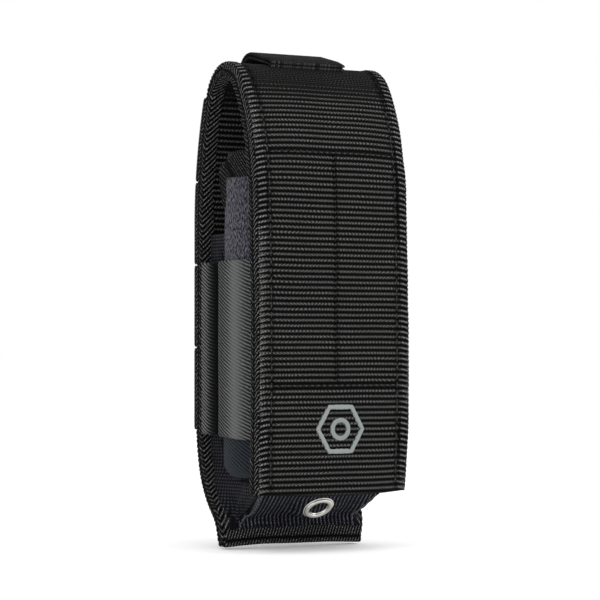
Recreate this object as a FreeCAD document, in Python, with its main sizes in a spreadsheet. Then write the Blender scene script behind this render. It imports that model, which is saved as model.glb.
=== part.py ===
# Belt sheath of heavy ribbed webbing for a folding multi tool, closed by a flap.
# Millimetres, +Z up, the front faces -Y and the wearer's side +Y. Every piece is drawn with its
# heights counted from the bottom edge and its depths from the rear face of the back webbing, and
# its Placement then moves it so that the origin is the middle of the belt channel.
import FreeCAD, Part
import Sketcher
import math
import os

Vector = FreeCAD.Vector
doc = FreeCAD.newDocument("Sheath")

# ---------------------------------------------------------------- driving dimensions
SIZES = {
    # overall
    "sheath_width": 52.0,          # two-inch webbing with tape folded round both edges
    "flap_depth": 40.0,            # outer face of the flap, in front of the back webbing
    "flap_hem_height": 17.0,       # lower edge of the flap
    "crown_radius": 12.0,          # outer radius of the fold over the top
    "crown_centre_depth": 18.2,
    "crown_centre_height": 134.0,
    "flap_straight_top": 106.0,    # the flap hangs straight below this height
    "back_straight_top": 98.0,     # the back leans forward above this height
    "back_straight_bottom": 36.0,  # the back curves forward below this height
    "seam_depth": 11.3,            # rear face of the bottom seam
    "seam_top": 4.7,
    "seam_bend_radius": 8.0,
    # cloth thicknesses
    "webbing_thick": 2.0,
    "flap_lining_thick": 2.2,
    "back_lining_thick": 0.8,
    "binding_thick": 0.6,
    "binding_cover": 4.0,          # how far a binding reaches over a face
    "nylon_thick": 0.9,
    "pad_thick": 2.0,
    "pocket_lining_thick": 0.7,
    "loop_thick": 1.0,
    "hook_thick": 1.2,
    "elastic_thick": 1.1,
    "thread_thick": 0.3,
    "touch_gap": 0.3,              # between the hook panel and what it presses on
    "fold_gap": 0.1,               # between the stretches of webbing at a fold
    # pocket under the flap
    "pocket_corner_radius": 13.0,
    "corner_lead": 0.6,            # straight stretch between the side wall and the rounded corner
    "pocket_bottom": 21.0,
    "pocket_top": 119.0,
    "loop_top": 111.5,
    "pocket_tape_height": 7.0,
    "side_wall_top": 95.0,
    "side_wall_gap": 0.2,          # behind the side wall, in front of the back's edge tape
    "elastic_bottom": 34.0,
    "elastic_top": 86.5,
    "elastic_gap": 0.8,            # behind the elastic band
    "elastic_end": 14.0,           # half distance between the ends of the two elastic bands
    # bottom seam and sloping front
    "eyelet_margin": 1.7,          # flat nylon round the eyelet's rim, above and below it
    "slope_low_radius": 3.0,
    "slope_high_radius": 6.0,
    "seam_lead": 0.8,              # upright nylon between the seam tape and the slope
    "edge_tape_bottom": 9.0,       # the tape on the back's edges ends above the seam
    # eyelet
    "eyelet_bore_radius": 2.5,
    "eyelet_barrel_radius": 2.9,
    "eyelet_rim_radius": 5.0,
    "eyelet_rim_height": 0.8,
    "eyelet_edge_height": 0.32,    # its rim is this thick at the outer and inner edge
    "eyelet_bevel": 0.64,
    "eyelet_side": 3.9,            # its centre, to the right of the middle
    "washer_thick": 0.5,
    # webbing rows on the back
    "row_count": 4,
    "row_height": 25.0,
    "row_pitch": 25.4,
    "row_bottom": 35.2,
    "row_thick": 1.4,
    "tack_edge": 4.4,              # from the row's end to the near side of its tack
    "tack_width": 1.4,
    "tack_inset": 3.0,
    # belt strap
    "strap_half_width": 12.7,
    "strap_layer_thick": 1.1,
    "strap_core_thick": 0.6,
    "strap_core_half_width": 9.5,
    "strap_top": 133.0,
    "strap_sewn_length": 12.5,
    "strap_tip": 18.0,
    "strap_bend_radius": 20.0,
    "strap_low_bend": 14.0,
    "strap_bend_start": 53.0,
    "belt_space": 4.6,             # room for a belt between the rows and the strap
    "belt_middle": 70.0,
    # snap fastener
    "snap_height": 28.0,
    "snap_cap_radius": 6.2,
    "snap_disc_radius": 5.0,
    "snap_stud_radius": 2.1,
    "snap_post_radius": 1.5,
    "snap_disc_thick": 0.8,
    "snap_socket_radius": 2.25,
    "snap_socket_depth": 2.4,
    "snap_gap": 0.2,
    "snap_cap_height": 1.4,
    "snap_cap_edge": 0.42,         # the dome rises from an edge, over a shoulder, to a flat top
    "snap_shoulder_radius": 4.65,
    "snap_shoulder_height": 1.12,
    "snap_flat_radius": 2.5,
    "rivet_sink": 2.4,             # the back's curve behind the rivet's inner disc
    # loop on the crown
    "loop_half_width": 12.7,
    "crown_loop_thick": 2.2,
    "crown_loop_front": 20.5,
    "crown_loop_lift": 0.5,
    "crown_loop_rise": 14.0,
    "crown_loop_run": 10.7,
    "crown_loop_radius": 4.5,
    "crown_loop_turn": 164.0,
    "crown_loop_foot": 0.9,
    # flap details
    "hook_bottom": 20.0,
    "hook_top": 48.0,
    "hook_edge": 5.9,              # from the flap's side to the hook panel
    "upper_stitch_height": 118.5,
    "lower_stitch_height": 49.0,
    "stitch_edge": 4.6,            # from the flap's side to the ends of the stitch rows
    "stitch_width": 0.9,
    "mark_height": 36.0,
    "mark_side": 1.5,
    "mark_radius": 7.8,
    "mark_line": 1.5,
    "mark_ring_radius": 3.3,
    "mark_thick": 0.6,
}

sheet = doc.addObject("Spreadsheet::Sheet", "Sizes")
for number, (alias, value) in enumerate(SIZES.items(), start=1):
    sheet.set("A%d" % number, alias)
    sheet.set("B%d" % number, str(value))
    sheet.setAlias("B%d" % number, alias)
doc.recompute()


def size(alias):
    return float(sheet.get(alias))


parts = []


def finish(obj, label):
    obj.Label = label
    parts.append(obj)
    return obj


# ---------------------------------------------------------------- paths of runs and turns
class Path:
    """A line of straight runs and round turns; an offset to its right is its outer side."""

    def __init__(self, start, heading):
        self.start = start
        self.heading = math.radians(heading)
        self.moves = []

    def run(self, length):
        self.moves.append(("run", length, 0.0))
        return self

    def turn(self, radius, degrees):
        self.moves.append(("turn", radius, math.radians(degrees)))
        return self

    def walk(self, offset):
        """Each move's first, middle and last point, on the line moved outward by offset."""
        (u, v), angle = self.start, self.heading
        stops = []
        for kind, amount, bend in self.moves:
            right = (math.sin(angle), -math.cos(angle))
            first = (u + offset * right[0], v + offset * right[1])
            if kind == "run":
                u += amount * math.cos(angle)
                v += amount * math.sin(angle)
                last = (u + offset * right[0], v + offset * right[1])
                stops.append((first, None, last))
                continue
            side = math.copysign(1.0, bend)
            centre = (u - side * amount * right[0], v - side * amount * right[1])
            reach = amount + side * offset

            def at(turned):
                return (
                    centre[0] + side * reach * math.sin(angle + turned),
                    centre[1] - side * reach * math.cos(angle + turned),
                )

            stops.append((at(0.0), at(bend / 2), at(bend)))
            u = centre[0] + side * amount * math.sin(angle + bend)
            v = centre[1] - side * amount * math.cos(angle + bend)
            angle += bend
        self.end = (u, v)
        self.end_heading = math.degrees(angle)
        return stops


def sideways(point):
    return Vector(0, point[0], point[1])


def flat(point):
    return Vector(point[0], point[1], 0)


def trace(path, offset, place):
    edges = []
    for first, middle, last in path.walk(offset):
        if middle is None:
            edges.append(Part.LineSegment(place(first), place(last)).toShape())
        else:
            edges.append(Part.Arc(place(first), place(middle), place(last)).toShape())
    return edges


def band(path, inner, outer, place, along):
    """The cloth between two offsets of a path, carried straight along a vector."""
    near = trace(path, inner, place)
    far = trace(path, outer, place)
    start_edge = Part.LineSegment(near[0].Vertexes[0].Point, far[0].Vertexes[0].Point).toShape()
    end_edge = Part.LineSegment(near[-1].Vertexes[-1].Point, far[-1].Vertexes[-1].Point).toShape()
    wire = Part.Wire(Part.__sortEdges__(near + [end_edge] + far + [start_edge]))
    return Part.Face(wire).extrude(along)


def across(path, inner, outer, low_x, high_x):
    """A strip seen edge-on from the side, from low_x to high_x."""
    solid = band(path, inner, outer, sideways, Vector(high_x - low_x, 0, 0))
    solid.translate(Vector(low_x, 0, 0))
    return solid


def upright(path, inner, outer, low_z, high_z):
    """A wall seen edge-on from above, from low_z to high_z."""
    solid = band(path, inner, outer, flat, Vector(0, 0, high_z - low_z))
    solid.translate(Vector(0, 0, low_z))
    return solid


def block(low, high):
    span = Vector(*high) - Vector(*low)
    return Part.makeBox(span.x, span.y, span.z, Vector(*low))


FAR = 400.0                        # beyond the whole sheath, for cutting shapes
THROUGH = 12.0                     # longer than any stack of cloth that a hole goes through


def between_heights(solid, low_z, high_z):
    return solid.common(block((-FAR, -FAR, low_z), (FAR, FAR, high_z)))


def between_sides(solid, low_x, high_x):
    return solid.common(block((low_x, -FAR, -FAR), (high_x, FAR, FAR)))


def mirrored(solid):
    return solid.mirror(Vector(0, 0, 0), Vector(1, 0, 0))


def cloth(label, solid):
    """A sewn piece whose outline follows a path of arcs."""
    obj = doc.addObject("Part::Feature", label)
    obj.Shape = solid.removeSplitter() if solid.ShapeType == "Solid" else solid
    obj.setExpression("Placement.Base.y", "-Sizes.binding_thick - Sizes.row_thick - Sizes.belt_space / 2")
    obj.setExpression("Placement.Base.z", "-Sizes.belt_middle")
    return finish(obj, label)


# ---------------------------------------------------------------- the routes of the webbing
half_width = size("sheath_width") / 2
tape = size("binding_thick")
webbing = size("webbing_thick")
crown_radius = size("crown_radius")
edge_x = half_width - tape


def ease(gap, rise):
    """Angle and total radius of two arcs that shift a line by gap within rise."""
    angle = 2 * math.atan2(gap, rise)
    return math.degrees(angle), rise / math.sin(angle)


seam_angle, seam_radii = ease(size("seam_depth"), size("back_straight_bottom") - size("seam_top"))
lean_angle, lean_reach = ease(
    size("crown_centre_depth") - crown_radius,
    size("crown_centre_height") - size("back_straight_top"),
)
drop_angle, drop_reach = ease(
    size("flap_depth") - size("crown_centre_depth") - crown_radius,
    size("crown_centre_height") - size("flap_straight_top"),
)
fold_slack = math.degrees(size("fold_gap") / crown_radius)


def back_path_to(top):
    """The back's outer face from the bottom seam, curving rearward, then straight up to top."""
    return (
        Path((-size("seam_depth"), tape), 90)
        .run(size("seam_top") - tape)
        .turn(size("seam_bend_radius"), -seam_angle)
        .turn(seam_radii - size("seam_bend_radius"), seam_angle)
        .run(top - size("back_straight_bottom"))
    )


lean_radius = lean_reach + crown_radius
back_path = back_path_to(size("back_straight_top")).turn(lean_radius, lean_angle)


def on_crown(degrees, reach):
    """Point of the crown at an angle from level at the rear, counted over the top."""
    turned = math.radians(degrees)
    return (
        -size("crown_centre_depth") + reach * math.cos(turned),
        size("crown_centre_height") + reach * math.sin(turned),
    )


crown_start = lean_angle + fold_slack
crown_sweep = 180 - lean_angle - drop_angle - 2 * fold_slack
crown_path = Path(on_crown(crown_start, crown_radius), 90 + crown_start).turn(crown_radius, crown_sweep)
flap_path = (
    Path(on_crown(180 - drop_angle, crown_radius), 270 - drop_angle)
    .turn(drop_reach + crown_radius, drop_angle)
    .run(size("flap_straight_top") - size("flap_hem_height"))
)


# ---------------------------------------------------------------- webbing, linings and bindings
def edge_binding(path, depth, side):
    """Tape folded round one long edge: outer face, edge and inner face."""
    cover = half_width - size("binding_cover")
    outer = across(path, 0, tape, cover, half_width)
    edge = across(path, -depth, 0, edge_x, half_width)
    inner = across(path, -depth - tape, -depth, cover, half_width)
    solid = outer.fuse([edge, inner]).removeSplitter()
    return solid if side > 0 else mirrored(solid)


back_depth = webbing + size("back_lining_thick")
flap_back = webbing + size("flap_lining_thick")
snap_hole = Part.makeCylinder(
    size("snap_post_radius"), 2 * THROUGH, Vector(0, -THROUGH, size("snap_height")), Vector(0, 1, 0)
)
cloth("back_webbing", across(back_path, -webbing, 0, -edge_x, edge_x).cut(snap_hole))
cloth("back_lining", across(back_path, -back_depth, -webbing, -edge_x, edge_x).cut(snap_hole))
cloth("crown_webbing", across(crown_path, -webbing, 0, -edge_x, edge_x))
cloth("crown_lining", across(crown_path, -flap_back, -webbing, -edge_x, edge_x))
cloth("flap_webbing", across(flap_path, -webbing, 0, -edge_x, edge_x))
cloth("flap_lining", across(flap_path, -flap_back, -webbing, -edge_x, edge_x))
for word, side in (("left", -1), ("right", 1)):
    back_edge = edge_binding(back_path, back_depth, side)
    cloth("back_binding_" + word, between_heights(back_edge, size("edge_tape_bottom"), FAR))
    cloth("crown_binding_" + word, edge_binding(crown_path, flap_back, side))
    cloth("flap_binding_" + word, edge_binding(flap_path, flap_back, side))

hook_half = half_width - size("hook_edge")
hook = across(flap_path, -flap_back - size("hook_thick"), -flap_back, -hook_half, hook_half)
cloth("hook_panel", between_heights(hook, size("hook_bottom"), size("hook_top")))


# ---------------------------------------------------------------- thread on the flap
def stitching():
    half = size("stitch_width") / 2
    reach = half_width - size("stitch_edge")
    thread = across(flap_path, 0, size("thread_thick"), -reach, reach)
    upper = size("upper_stitch_height")
    lower = size("lower_stitch_height")
    rows = [between_heights(thread, level - half, level + half) for level in (upper, lower)]
    seam = between_sides(between_heights(thread, lower + half, upper - half), -half, half)
    return rows[0].fuse([rows[1], seam]).removeSplitter()


cloth("flap_stitching", stitching())


# ---------------------------------------------------------------- pocket under the flap
stack = size("touch_gap") + size("elastic_thick") + size("loop_thick") + size("hook_thick")
pocket_front = size("flap_depth") - flap_back - stack
pocket_half = half_width - size("loop_thick") - size("elastic_thick")
corner = size("pocket_corner_radius")
side_depth = pocket_front - corner - size("corner_lead")
wall_rear = back_depth + tape + size("side_wall_gap")
elastic_rear = back_depth + tape + size("elastic_gap")


def pocket_path(rear_depth):
    """The pocket's outline from above, from its left side round the front to its right side."""
    lead = pocket_front - corner - rear_depth
    return (
        Path((-pocket_half, -rear_depth), 270)
        .run(lead)
        .turn(corner, 90)
        .run(2 * (pocket_half - corner))
        .turn(corner, 90)
        .run(lead)
    )


front_path = pocket_path(side_depth)
nylon = size("nylon_thick")
pad_depth = nylon + size("pad_thick")
lining_depth = pad_depth + size("pocket_lining_thick")
pocket_bottom = size("pocket_bottom")
pocket_top = size("pocket_top")
cloth("pocket_front", upright(front_path, -nylon, 0, pocket_bottom, pocket_top))
cloth("pocket_pad", upright(front_path, -pad_depth, -nylon, pocket_bottom, pocket_top))
cloth("pocket_lining", upright(front_path, -lining_depth, -pad_depth, pocket_bottom, pocket_top))
cloth("loop_panel", upright(front_path, 0, size("loop_thick"), pocket_bottom, size("loop_top")))


def pocket_tape():
    low = pocket_top - size("pocket_tape_height")
    whole = upright(front_path, -lining_depth - tape, tape, low, pocket_top + tape)
    wall = upright(front_path, -lining_depth, 0, low, pocket_top)
    return whole.cut(wall)


cloth("pocket_binding", pocket_tape())


def elastic(side):
    start = size("loop_thick")
    wall = upright(
        pocket_path(elastic_rear), start, start + size("elastic_thick"),
        size("elastic_bottom"), size("elastic_top"),
    )
    solid = between_sides(wall, -FAR, -size("elastic_end"))
    return mirrored(solid) if side > 0 else solid


def filled(line, corners, low_x, high_x):
    """A traced line closed through further corners, seen from the side and given a width."""
    first = line[0].Vertexes[0].Point
    stops = [line[-1].Vertexes[-1].Point] + [sideways(corner) for corner in corners] + [first]
    closing = [Part.LineSegment(p, q).toShape() for p, q in zip(stops, stops[1:])]
    solid = Part.Face(Part.Wire(line + closing)).extrude(Vector(high_x - low_x, 0, 0))
    solid.translate(Vector(low_x, 0, 0))
    return solid


def side_wall(side):
    """Nylon side of the pocket; its foot reaches forward to the slope and down into the seam."""
    outer = -pocket_half
    inner = outer + nylon
    rear_line = trace(back_path_to(size("side_wall_top")), -wall_rear, sideways)
    before_back = filled(rear_line, [(-FAR, size("side_wall_top")), (-FAR, 0)], outer, inner)
    front_line = trace(slope_path, nylon + size("fold_gap"), sideways)
    behind_slope = filled(
        front_line,
        [(-size("flap_depth"), pocket_bottom), (-size("flap_depth"), FAR), (FAR, FAR), (FAR, 0)],
        outer, inner,
    )
    front = -side_depth + size("fold_gap")
    upper = block((outer, front, 0), (inner, 0, size("side_wall_top")))
    foot = block((outer, -pocket_front, 0), (inner, 0, pocket_bottom - size("fold_gap")))
    solid = upper.fuse(foot).common(before_back).common(behind_slope).removeSplitter()
    return mirrored(solid) if side > 0 else solid


# ---------------------------------------------------------------- sloping front and bottom seam
seam_rear = size("seam_depth") + back_depth
slope_radii = size("slope_low_radius") + size("slope_high_radius")
slope_shift = pocket_front - seam_rear - nylon
slope_run = 2 * (size("eyelet_rim_radius") + size("eyelet_margin"))
# The two bends and the run between them reach forward by slope_shift at this angle.
slope = math.acos((slope_radii - slope_shift) / math.hypot(slope_radii, slope_run))
slope -= math.atan2(slope_run, slope_radii)
slope_rise = slope_radii * math.sin(slope) + slope_run * math.cos(slope)
slope_start = pocket_bottom - slope_rise
# Traced upward, the cloth's outer face is on its left, so outward offsets are negative.
slope_path = (
    Path((-seam_rear - nylon, tape), 90)
    .run(slope_start - tape)
    .turn(size("slope_low_radius"), math.degrees(slope))
    .run(slope_run)
    .turn(size("slope_high_radius"), -math.degrees(slope))
)
slope_middle = slope_path.walk(0)[2]
eyelet_point = [(slope_middle[0][k] + slope_middle[2][k]) / 2 for k in (0, 1)]
eyelet_out = Vector(0, -math.cos(slope), -math.sin(slope))
eyelet_centre = Vector(size("eyelet_side"), eyelet_point[0], eyelet_point[1])
eyelet_hole = Part.makeCylinder(
    size("eyelet_barrel_radius"), THROUGH, eyelet_centre - eyelet_out * THROUGH / 2, eyelet_out
)
slope_half = pocket_half - nylon
cloth("sloping_front", across(slope_path, 0, nylon, -slope_half, slope_half).cut(eyelet_hole))
for word, side in (("left", -1), ("right", 1)):
    cloth("side_wall_" + word, side_wall(side))
    cloth("elastic_band_" + word, elastic(side))


def seam_tape():
    rear = -size("seam_depth")
    front = -seam_rear - nylon
    rear_leaf = block((-half_width, rear, 0), (half_width, rear + tape, size("seam_top")))
    front_top = slope_start - size("seam_lead")
    front_leaf = block((-half_width, front - tape, 0), (half_width, front, front_top))
    sole = block((-half_width, front, 0), (half_width, rear, tape))
    return sole.fuse([rear_leaf, front_leaf]).removeSplitter()


cloth("seam_binding", seam_tape())


# ---------------------------------------------------------------- rows of webbing on the back
row_face = tape + size("row_thick")
for number in range(int(size("row_count"))):
    low = size("row_bottom") + number * size("row_pitch")
    row = across(back_path, tape, row_face, -half_width, half_width)
    cloth("webbing_row_%d" % (number + 1), between_heights(row, low, low + size("row_height")))


def row_tacks():
    bars = []
    thread = across(back_path, row_face, row_face + size("thread_thick"), 0, size("tack_width"))
    for number in range(int(size("row_count"))):
        low = size("row_bottom") + number * size("row_pitch") + size("tack_inset")
        bar = between_heights(thread, low, low + size("row_height") - 2 * size("tack_inset"))
        bar.translate(Vector(half_width - size("tack_edge"), 0, 0))
        bars += [bar, mirrored(bar)]
    return Part.makeCompound(bars)


cloth("row_tacks", row_tacks())

# ---------------------------------------------------------------- belt strap
strap_full = 2 * size("strap_layer_thick") + size("strap_core_thick")
strap_half = size("strap_half_width")
strap_line = row_face + size("belt_space")
seat_below_top = size("strap_sewn_length") / 2
strap_top_turn = math.asin((size("strap_top") - seat_below_top - size("back_straight_top")) / lean_radius)
strap_lean = math.degrees(strap_top_turn)
touch_height = size("back_straight_top") + lean_radius * math.sin(strap_top_turn)
touch_depth = lean_radius * (1 - math.cos(strap_top_turn))
touch_offset = row_face + size("thread_thick")
above = size("strap_top") - touch_height
strap_start = (
    -touch_depth + touch_offset * math.cos(strap_top_turn) - above * math.tan(strap_top_turn),
    size("strap_top") + touch_offset * math.sin(strap_top_turn),
)
bend = size("strap_bend_radius")
top_shift = bend * (1 - math.cos(strap_top_turn))
top_run = (strap_line - strap_start[0] - top_shift) / math.sin(strap_top_turn)
free_run = top_run - size("strap_sewn_length")
straight_top = strap_start[1] - top_run * math.cos(strap_top_turn) - bend * math.sin(strap_top_turn)
low_bend = math.radians(size("strap_low_bend"))
snap_stack = size("snap_disc_thick") + size("snap_gap") + size("snap_socket_depth")
low_shift = strap_line - snap_stack
low_run = (low_shift - 2 * bend * (1 - math.cos(low_bend))) / math.sin(low_bend)
low_end = size("strap_bend_start") - 2 * bend * math.sin(low_bend) - low_run * math.cos(low_bend)
sewn_path = Path(strap_start, 270 + strap_lean).run(size("strap_sewn_length") - size("fold_gap"))
strap_path_start = (
    strap_start[0] + size("strap_sewn_length") * math.sin(strap_top_turn),
    strap_start[1] - size("strap_sewn_length") * math.cos(strap_top_turn),
)
# Traced downward behind the back, the strap's outer face is on its left: outward is negative.
strap_path = (
    Path(strap_path_start, 270 + strap_lean)
    .run(free_run)
    .turn(bend, -strap_lean)
    .run(straight_top - size("strap_bend_start"))
    .turn(bend, -size("strap_low_bend"))
    .run(low_run)
    .turn(bend, size("strap_low_bend"))
    .run(low_end - size("strap_tip"))
)
layer = size("strap_layer_thick")
core_half = size("strap_core_half_width")
cloth("strap_sewn_end", across(sewn_path, -strap_full, 0, -strap_half, strap_half))
cloth("strap_inner", across(strap_path, -layer, 0, -strap_half, strap_half).cut(snap_hole))
core = across(strap_path, -layer - size("strap_core_thick"), -layer, -core_half, core_half)
cloth("strap_stiffener", core.cut(snap_hole))
outer_layer = across(strap_path, -strap_full, layer - strap_full, -strap_half, strap_half)
cloth("strap_outer", outer_layer.cut(snap_hole))

# ---------------------------------------------------------------- loop on the crown
loop_front = size("crown_loop_front")
loop_base = size("crown_centre_height") + size("crown_loop_lift") + math.sqrt(
    crown_radius ** 2 - (loop_front - size("crown_centre_depth")) ** 2
)
# Traced backward from its front hem, the loop's outer face is on its left.
loop_path = (
    Path((-loop_front, loop_base), size("crown_loop_rise"))
    .run(size("crown_loop_run"))
    .turn(size("crown_loop_radius"), -size("crown_loop_turn"))
    .run(size("crown_loop_foot"))
)
loop_half = size("loop_half_width")
crown_cloth = across(crown_path, -webbing, size("fold_gap"), -half_width, half_width)
loop_solid = across(loop_path, -size("crown_loop_thick"), 0, -loop_half, loop_half)
cloth("crown_loop", loop_solid.cut(crown_cloth))


# ---------------------------------------------------------------- turned metal pieces
origin = Vector(0, row_face + size("belt_space") / 2, size("belt_middle"))


def turned(label, base, axis, outline):
    """A body of revolution: outline holds (radius, height) pairs as expressions of the sheet."""
    body = doc.addObject("PartDesign::Body", label + "_body")
    plane = next(f for f in body.Origin.OriginFeatures if f.Role == "XZ_Plane")
    sketch = body.newObject("Sketcher::SketchObject", label + "_outline")
    sketch.AttachmentSupport = [(plane, "")]
    sketch.MapMode = "FlatFace"
    corners = [[float(sheet.evalExpression(words)) for words in pair] for pair in outline]
    count = len(corners)
    for k in range(count):
        begin = Vector(*corners[k], 0)
        end = Vector(*corners[(k + 1) % count], 0)
        sketch.addGeometry(Part.LineSegment(begin, end), False)
    for k in range(count):
        sketch.addConstraint(Sketcher.Constraint("Coincident", k, 2, (k + 1) % count, 1))
    for k, pair in enumerate(outline):
        for kind, value, words in zip(("DistanceX", "DistanceY"), corners[k], pair):
            index = sketch.addConstraint(Sketcher.Constraint(kind, -1, 1, k, 1, value))
            sketch.setExpression("Constraints[%d]" % index, words)
    doc.recompute()
    spin = body.newObject("PartDesign::Revolution", label + "_turned")
    spin.Profile = sketch
    spin.ReferenceAxis = (sketch, ["V_Axis"])
    spin.Angle = 360
    body.Placement = FreeCAD.Placement(base - origin, FreeCAD.Rotation(Vector(0, 0, 1), axis))
    return finish(body, label)


barrel_foot = "-Sizes.nylon_thick - Sizes.washer_thick - Sizes.touch_gap"
turned("eyelet", eyelet_centre, eyelet_out, [
    ("Sizes.eyelet_bore_radius", barrel_foot),
    ("Sizes.eyelet_barrel_radius", barrel_foot),
    ("Sizes.eyelet_barrel_radius", "0"),
    ("Sizes.eyelet_rim_radius", "0"),
    ("Sizes.eyelet_rim_radius", "Sizes.eyelet_edge_height"),
    ("Sizes.eyelet_rim_radius - Sizes.eyelet_bevel", "Sizes.eyelet_rim_height"),
    ("Sizes.eyelet_barrel_radius + Sizes.eyelet_edge_height", "Sizes.eyelet_rim_height"),
    ("Sizes.eyelet_bore_radius", "Sizes.eyelet_edge_height"),
])
turned("eyelet_washer", eyelet_centre, eyelet_out, [
    ("Sizes.eyelet_barrel_radius", "-Sizes.nylon_thick - Sizes.washer_thick"),
    ("Sizes.eyelet_rim_radius", "-Sizes.nylon_thick - Sizes.washer_thick"),
    ("Sizes.eyelet_rim_radius", "-Sizes.nylon_thick"),
    ("Sizes.eyelet_barrel_radius", "-Sizes.nylon_thick"),
])

rearward = Vector(0, 1, 0)
snap_seat = Vector(0, 0, size("snap_height"))
strap_seat = Vector(0, snap_stack, size("snap_height"))
cap_seat = Vector(0, snap_stack + strap_full, size("snap_height"))
turned("snap_stud", snap_seat, rearward, [
    ("0", "0"),
    ("Sizes.snap_disc_radius", "0"),
    ("Sizes.snap_disc_radius", "Sizes.snap_disc_thick"),
    ("Sizes.snap_stud_radius - Sizes.snap_gap", "Sizes.snap_disc_thick"),
    ("Sizes.snap_stud_radius", "Sizes.snap_disc_thick * 2"),
    ("Sizes.snap_stud_radius - Sizes.snap_gap", "Sizes.snap_disc_thick * 3"),
    ("0", "Sizes.snap_disc_thick * 3"),
])
rivet_foot = "-Sizes.webbing_thick - Sizes.back_lining_thick - Sizes.rivet_sink"
turned("snap_rivet", snap_seat, rearward, [
    ("0", rivet_foot + " - Sizes.snap_disc_thick"),
    ("Sizes.snap_disc_radius", rivet_foot + " - Sizes.snap_disc_thick"),
    ("Sizes.snap_disc_radius", rivet_foot),
    ("Sizes.snap_post_radius", rivet_foot),
    ("Sizes.snap_post_radius", "0"),
    ("0", "0"),
])
turned("snap_socket", strap_seat, rearward, [
    ("Sizes.snap_socket_radius", "-Sizes.snap_socket_depth"),
    ("Sizes.snap_disc_radius - Sizes.snap_disc_thick", "-Sizes.snap_socket_depth"),
    ("Sizes.snap_disc_radius", "-Sizes.snap_disc_thick"),
    ("Sizes.snap_disc_radius", "0"),
    ("Sizes.snap_socket_radius", "0"),
])
cap_foot = "-2 * Sizes.strap_layer_thick - Sizes.strap_core_thick"
turned("snap_cap", cap_seat, rearward, [
    ("0", cap_foot),
    ("Sizes.snap_post_radius", cap_foot),
    ("Sizes.snap_post_radius", "0"),
    ("Sizes.snap_cap_radius", "0"),
    ("Sizes.snap_cap_radius", "Sizes.snap_cap_edge"),
    ("Sizes.snap_shoulder_radius", "Sizes.snap_shoulder_height"),
    ("Sizes.snap_flat_radius", "Sizes.snap_cap_height"),
    ("0", "Sizes.snap_cap_height"),
])


# ---------------------------------------------------------------- embroidered mark
def mark_piece(kind, name, radius_name, radius):
    """A hexagonal or round plug of thread standing on the flap's outer face."""
    plug = doc.addObject(kind, name)
    plug.setExpression(radius_name, radius)
    plug.setExpression("Height", "Sizes.mark_thick")
    plug.Placement = FreeCAD.Placement(Vector(), FreeCAD.Rotation(Vector(1, 0, 0), 90))
    plug.setExpression("Placement.Base.x", "Sizes.mark_side")
    plug.setExpression("Placement.Base.y", "-Sizes.flap_depth")
    plug.setExpression("Placement.Base.z", "Sizes.mark_height")
    return plug


def mark_outline(kind, name, radius_name, radius):
    ring = doc.addObject("Part::Cut", name)
    ring.Base = mark_piece(kind, name + "_outer", radius_name, radius)
    ring.Tool = mark_piece(kind, name + "_inner", radius_name, radius + " - Sizes.mark_line")
    return ring


mark = doc.addObject("Part::MultiFuse", "mark_threads")
mark.Shapes = [
    mark_outline("Part::Prism", "mark_hexagon", "Circumradius", "Sizes.mark_radius"),
    mark_outline("Part::Cylinder", "mark_ring", "Radius", "Sizes.mark_ring_radius"),
]
mark.setExpression("Placement.Base.y", "-Sizes.binding_thick - Sizes.row_thick - Sizes.belt_space / 2")
mark.setExpression("Placement.Base.z", "-Sizes.belt_middle")
finish(mark, "embroidered_mark")

# ---------------------------------------------------------------- checks and export
doc.recompute()
for item in doc.Objects:
    if "Invalid" in item.State or "Error" in item.State:
        raise RuntimeError("%s did not build" % item.Label)
for item in parts:
    if item.Shape.isNull() or not item.Shape.isValid() or not item.Shape.Solids:
        raise RuntimeError("%s has no valid solid" % item.Label)
os.makedirs("parts", exist_ok=True)
for item in parts:
    item.Shape.exportStep("parts/%s.step" % item.Label)
print("wrote %d parts" % len(parts))
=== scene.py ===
import bpy
import bmesh
import math
import numpy as np
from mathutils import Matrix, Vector


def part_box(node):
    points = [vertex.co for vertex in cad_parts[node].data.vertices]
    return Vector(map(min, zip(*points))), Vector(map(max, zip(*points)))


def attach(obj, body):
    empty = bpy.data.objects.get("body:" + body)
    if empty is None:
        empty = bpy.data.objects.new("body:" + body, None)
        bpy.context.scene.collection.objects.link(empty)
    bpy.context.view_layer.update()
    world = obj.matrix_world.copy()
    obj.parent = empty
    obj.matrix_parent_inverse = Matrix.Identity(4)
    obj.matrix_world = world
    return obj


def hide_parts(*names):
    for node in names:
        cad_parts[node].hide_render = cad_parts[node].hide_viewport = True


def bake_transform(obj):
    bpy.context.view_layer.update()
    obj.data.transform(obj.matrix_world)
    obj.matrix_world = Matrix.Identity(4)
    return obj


# Belt sheath of heavy ribbed webbing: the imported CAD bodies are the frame, and the cloth is built round them.
# All shapes below are worked out in millimetres in the frame's own axes and become metres in skin().
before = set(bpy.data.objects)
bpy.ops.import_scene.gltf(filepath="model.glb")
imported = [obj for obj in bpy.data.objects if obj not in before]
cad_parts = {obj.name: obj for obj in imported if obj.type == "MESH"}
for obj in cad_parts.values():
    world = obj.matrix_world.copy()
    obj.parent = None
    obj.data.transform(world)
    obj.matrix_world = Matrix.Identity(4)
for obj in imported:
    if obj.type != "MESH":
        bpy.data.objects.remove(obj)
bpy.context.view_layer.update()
mm = 0.001


def low(node):
    return np.array(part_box(node)[0]) / mm


def high(node):
    return np.array(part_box(node)[1]) / mm


backFace = high("back_webbing")[1]      # outer face of the back, where it is straight
flapFace = low("flap_webbing")[1]       # outer face of the flap
footHeight = low("seam_binding")[2]     # lowest edge
halfWidth = high("flap_binding_right")[0]
webbingSide = halfWidth - 0.6           # the webbing's own edge, inside its tape
crownTop = high("crown_webbing")[2]
hemHeight = low("flap_webbing")[2]
soleThick = 0.6                         # the tape under the bottom seam


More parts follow.
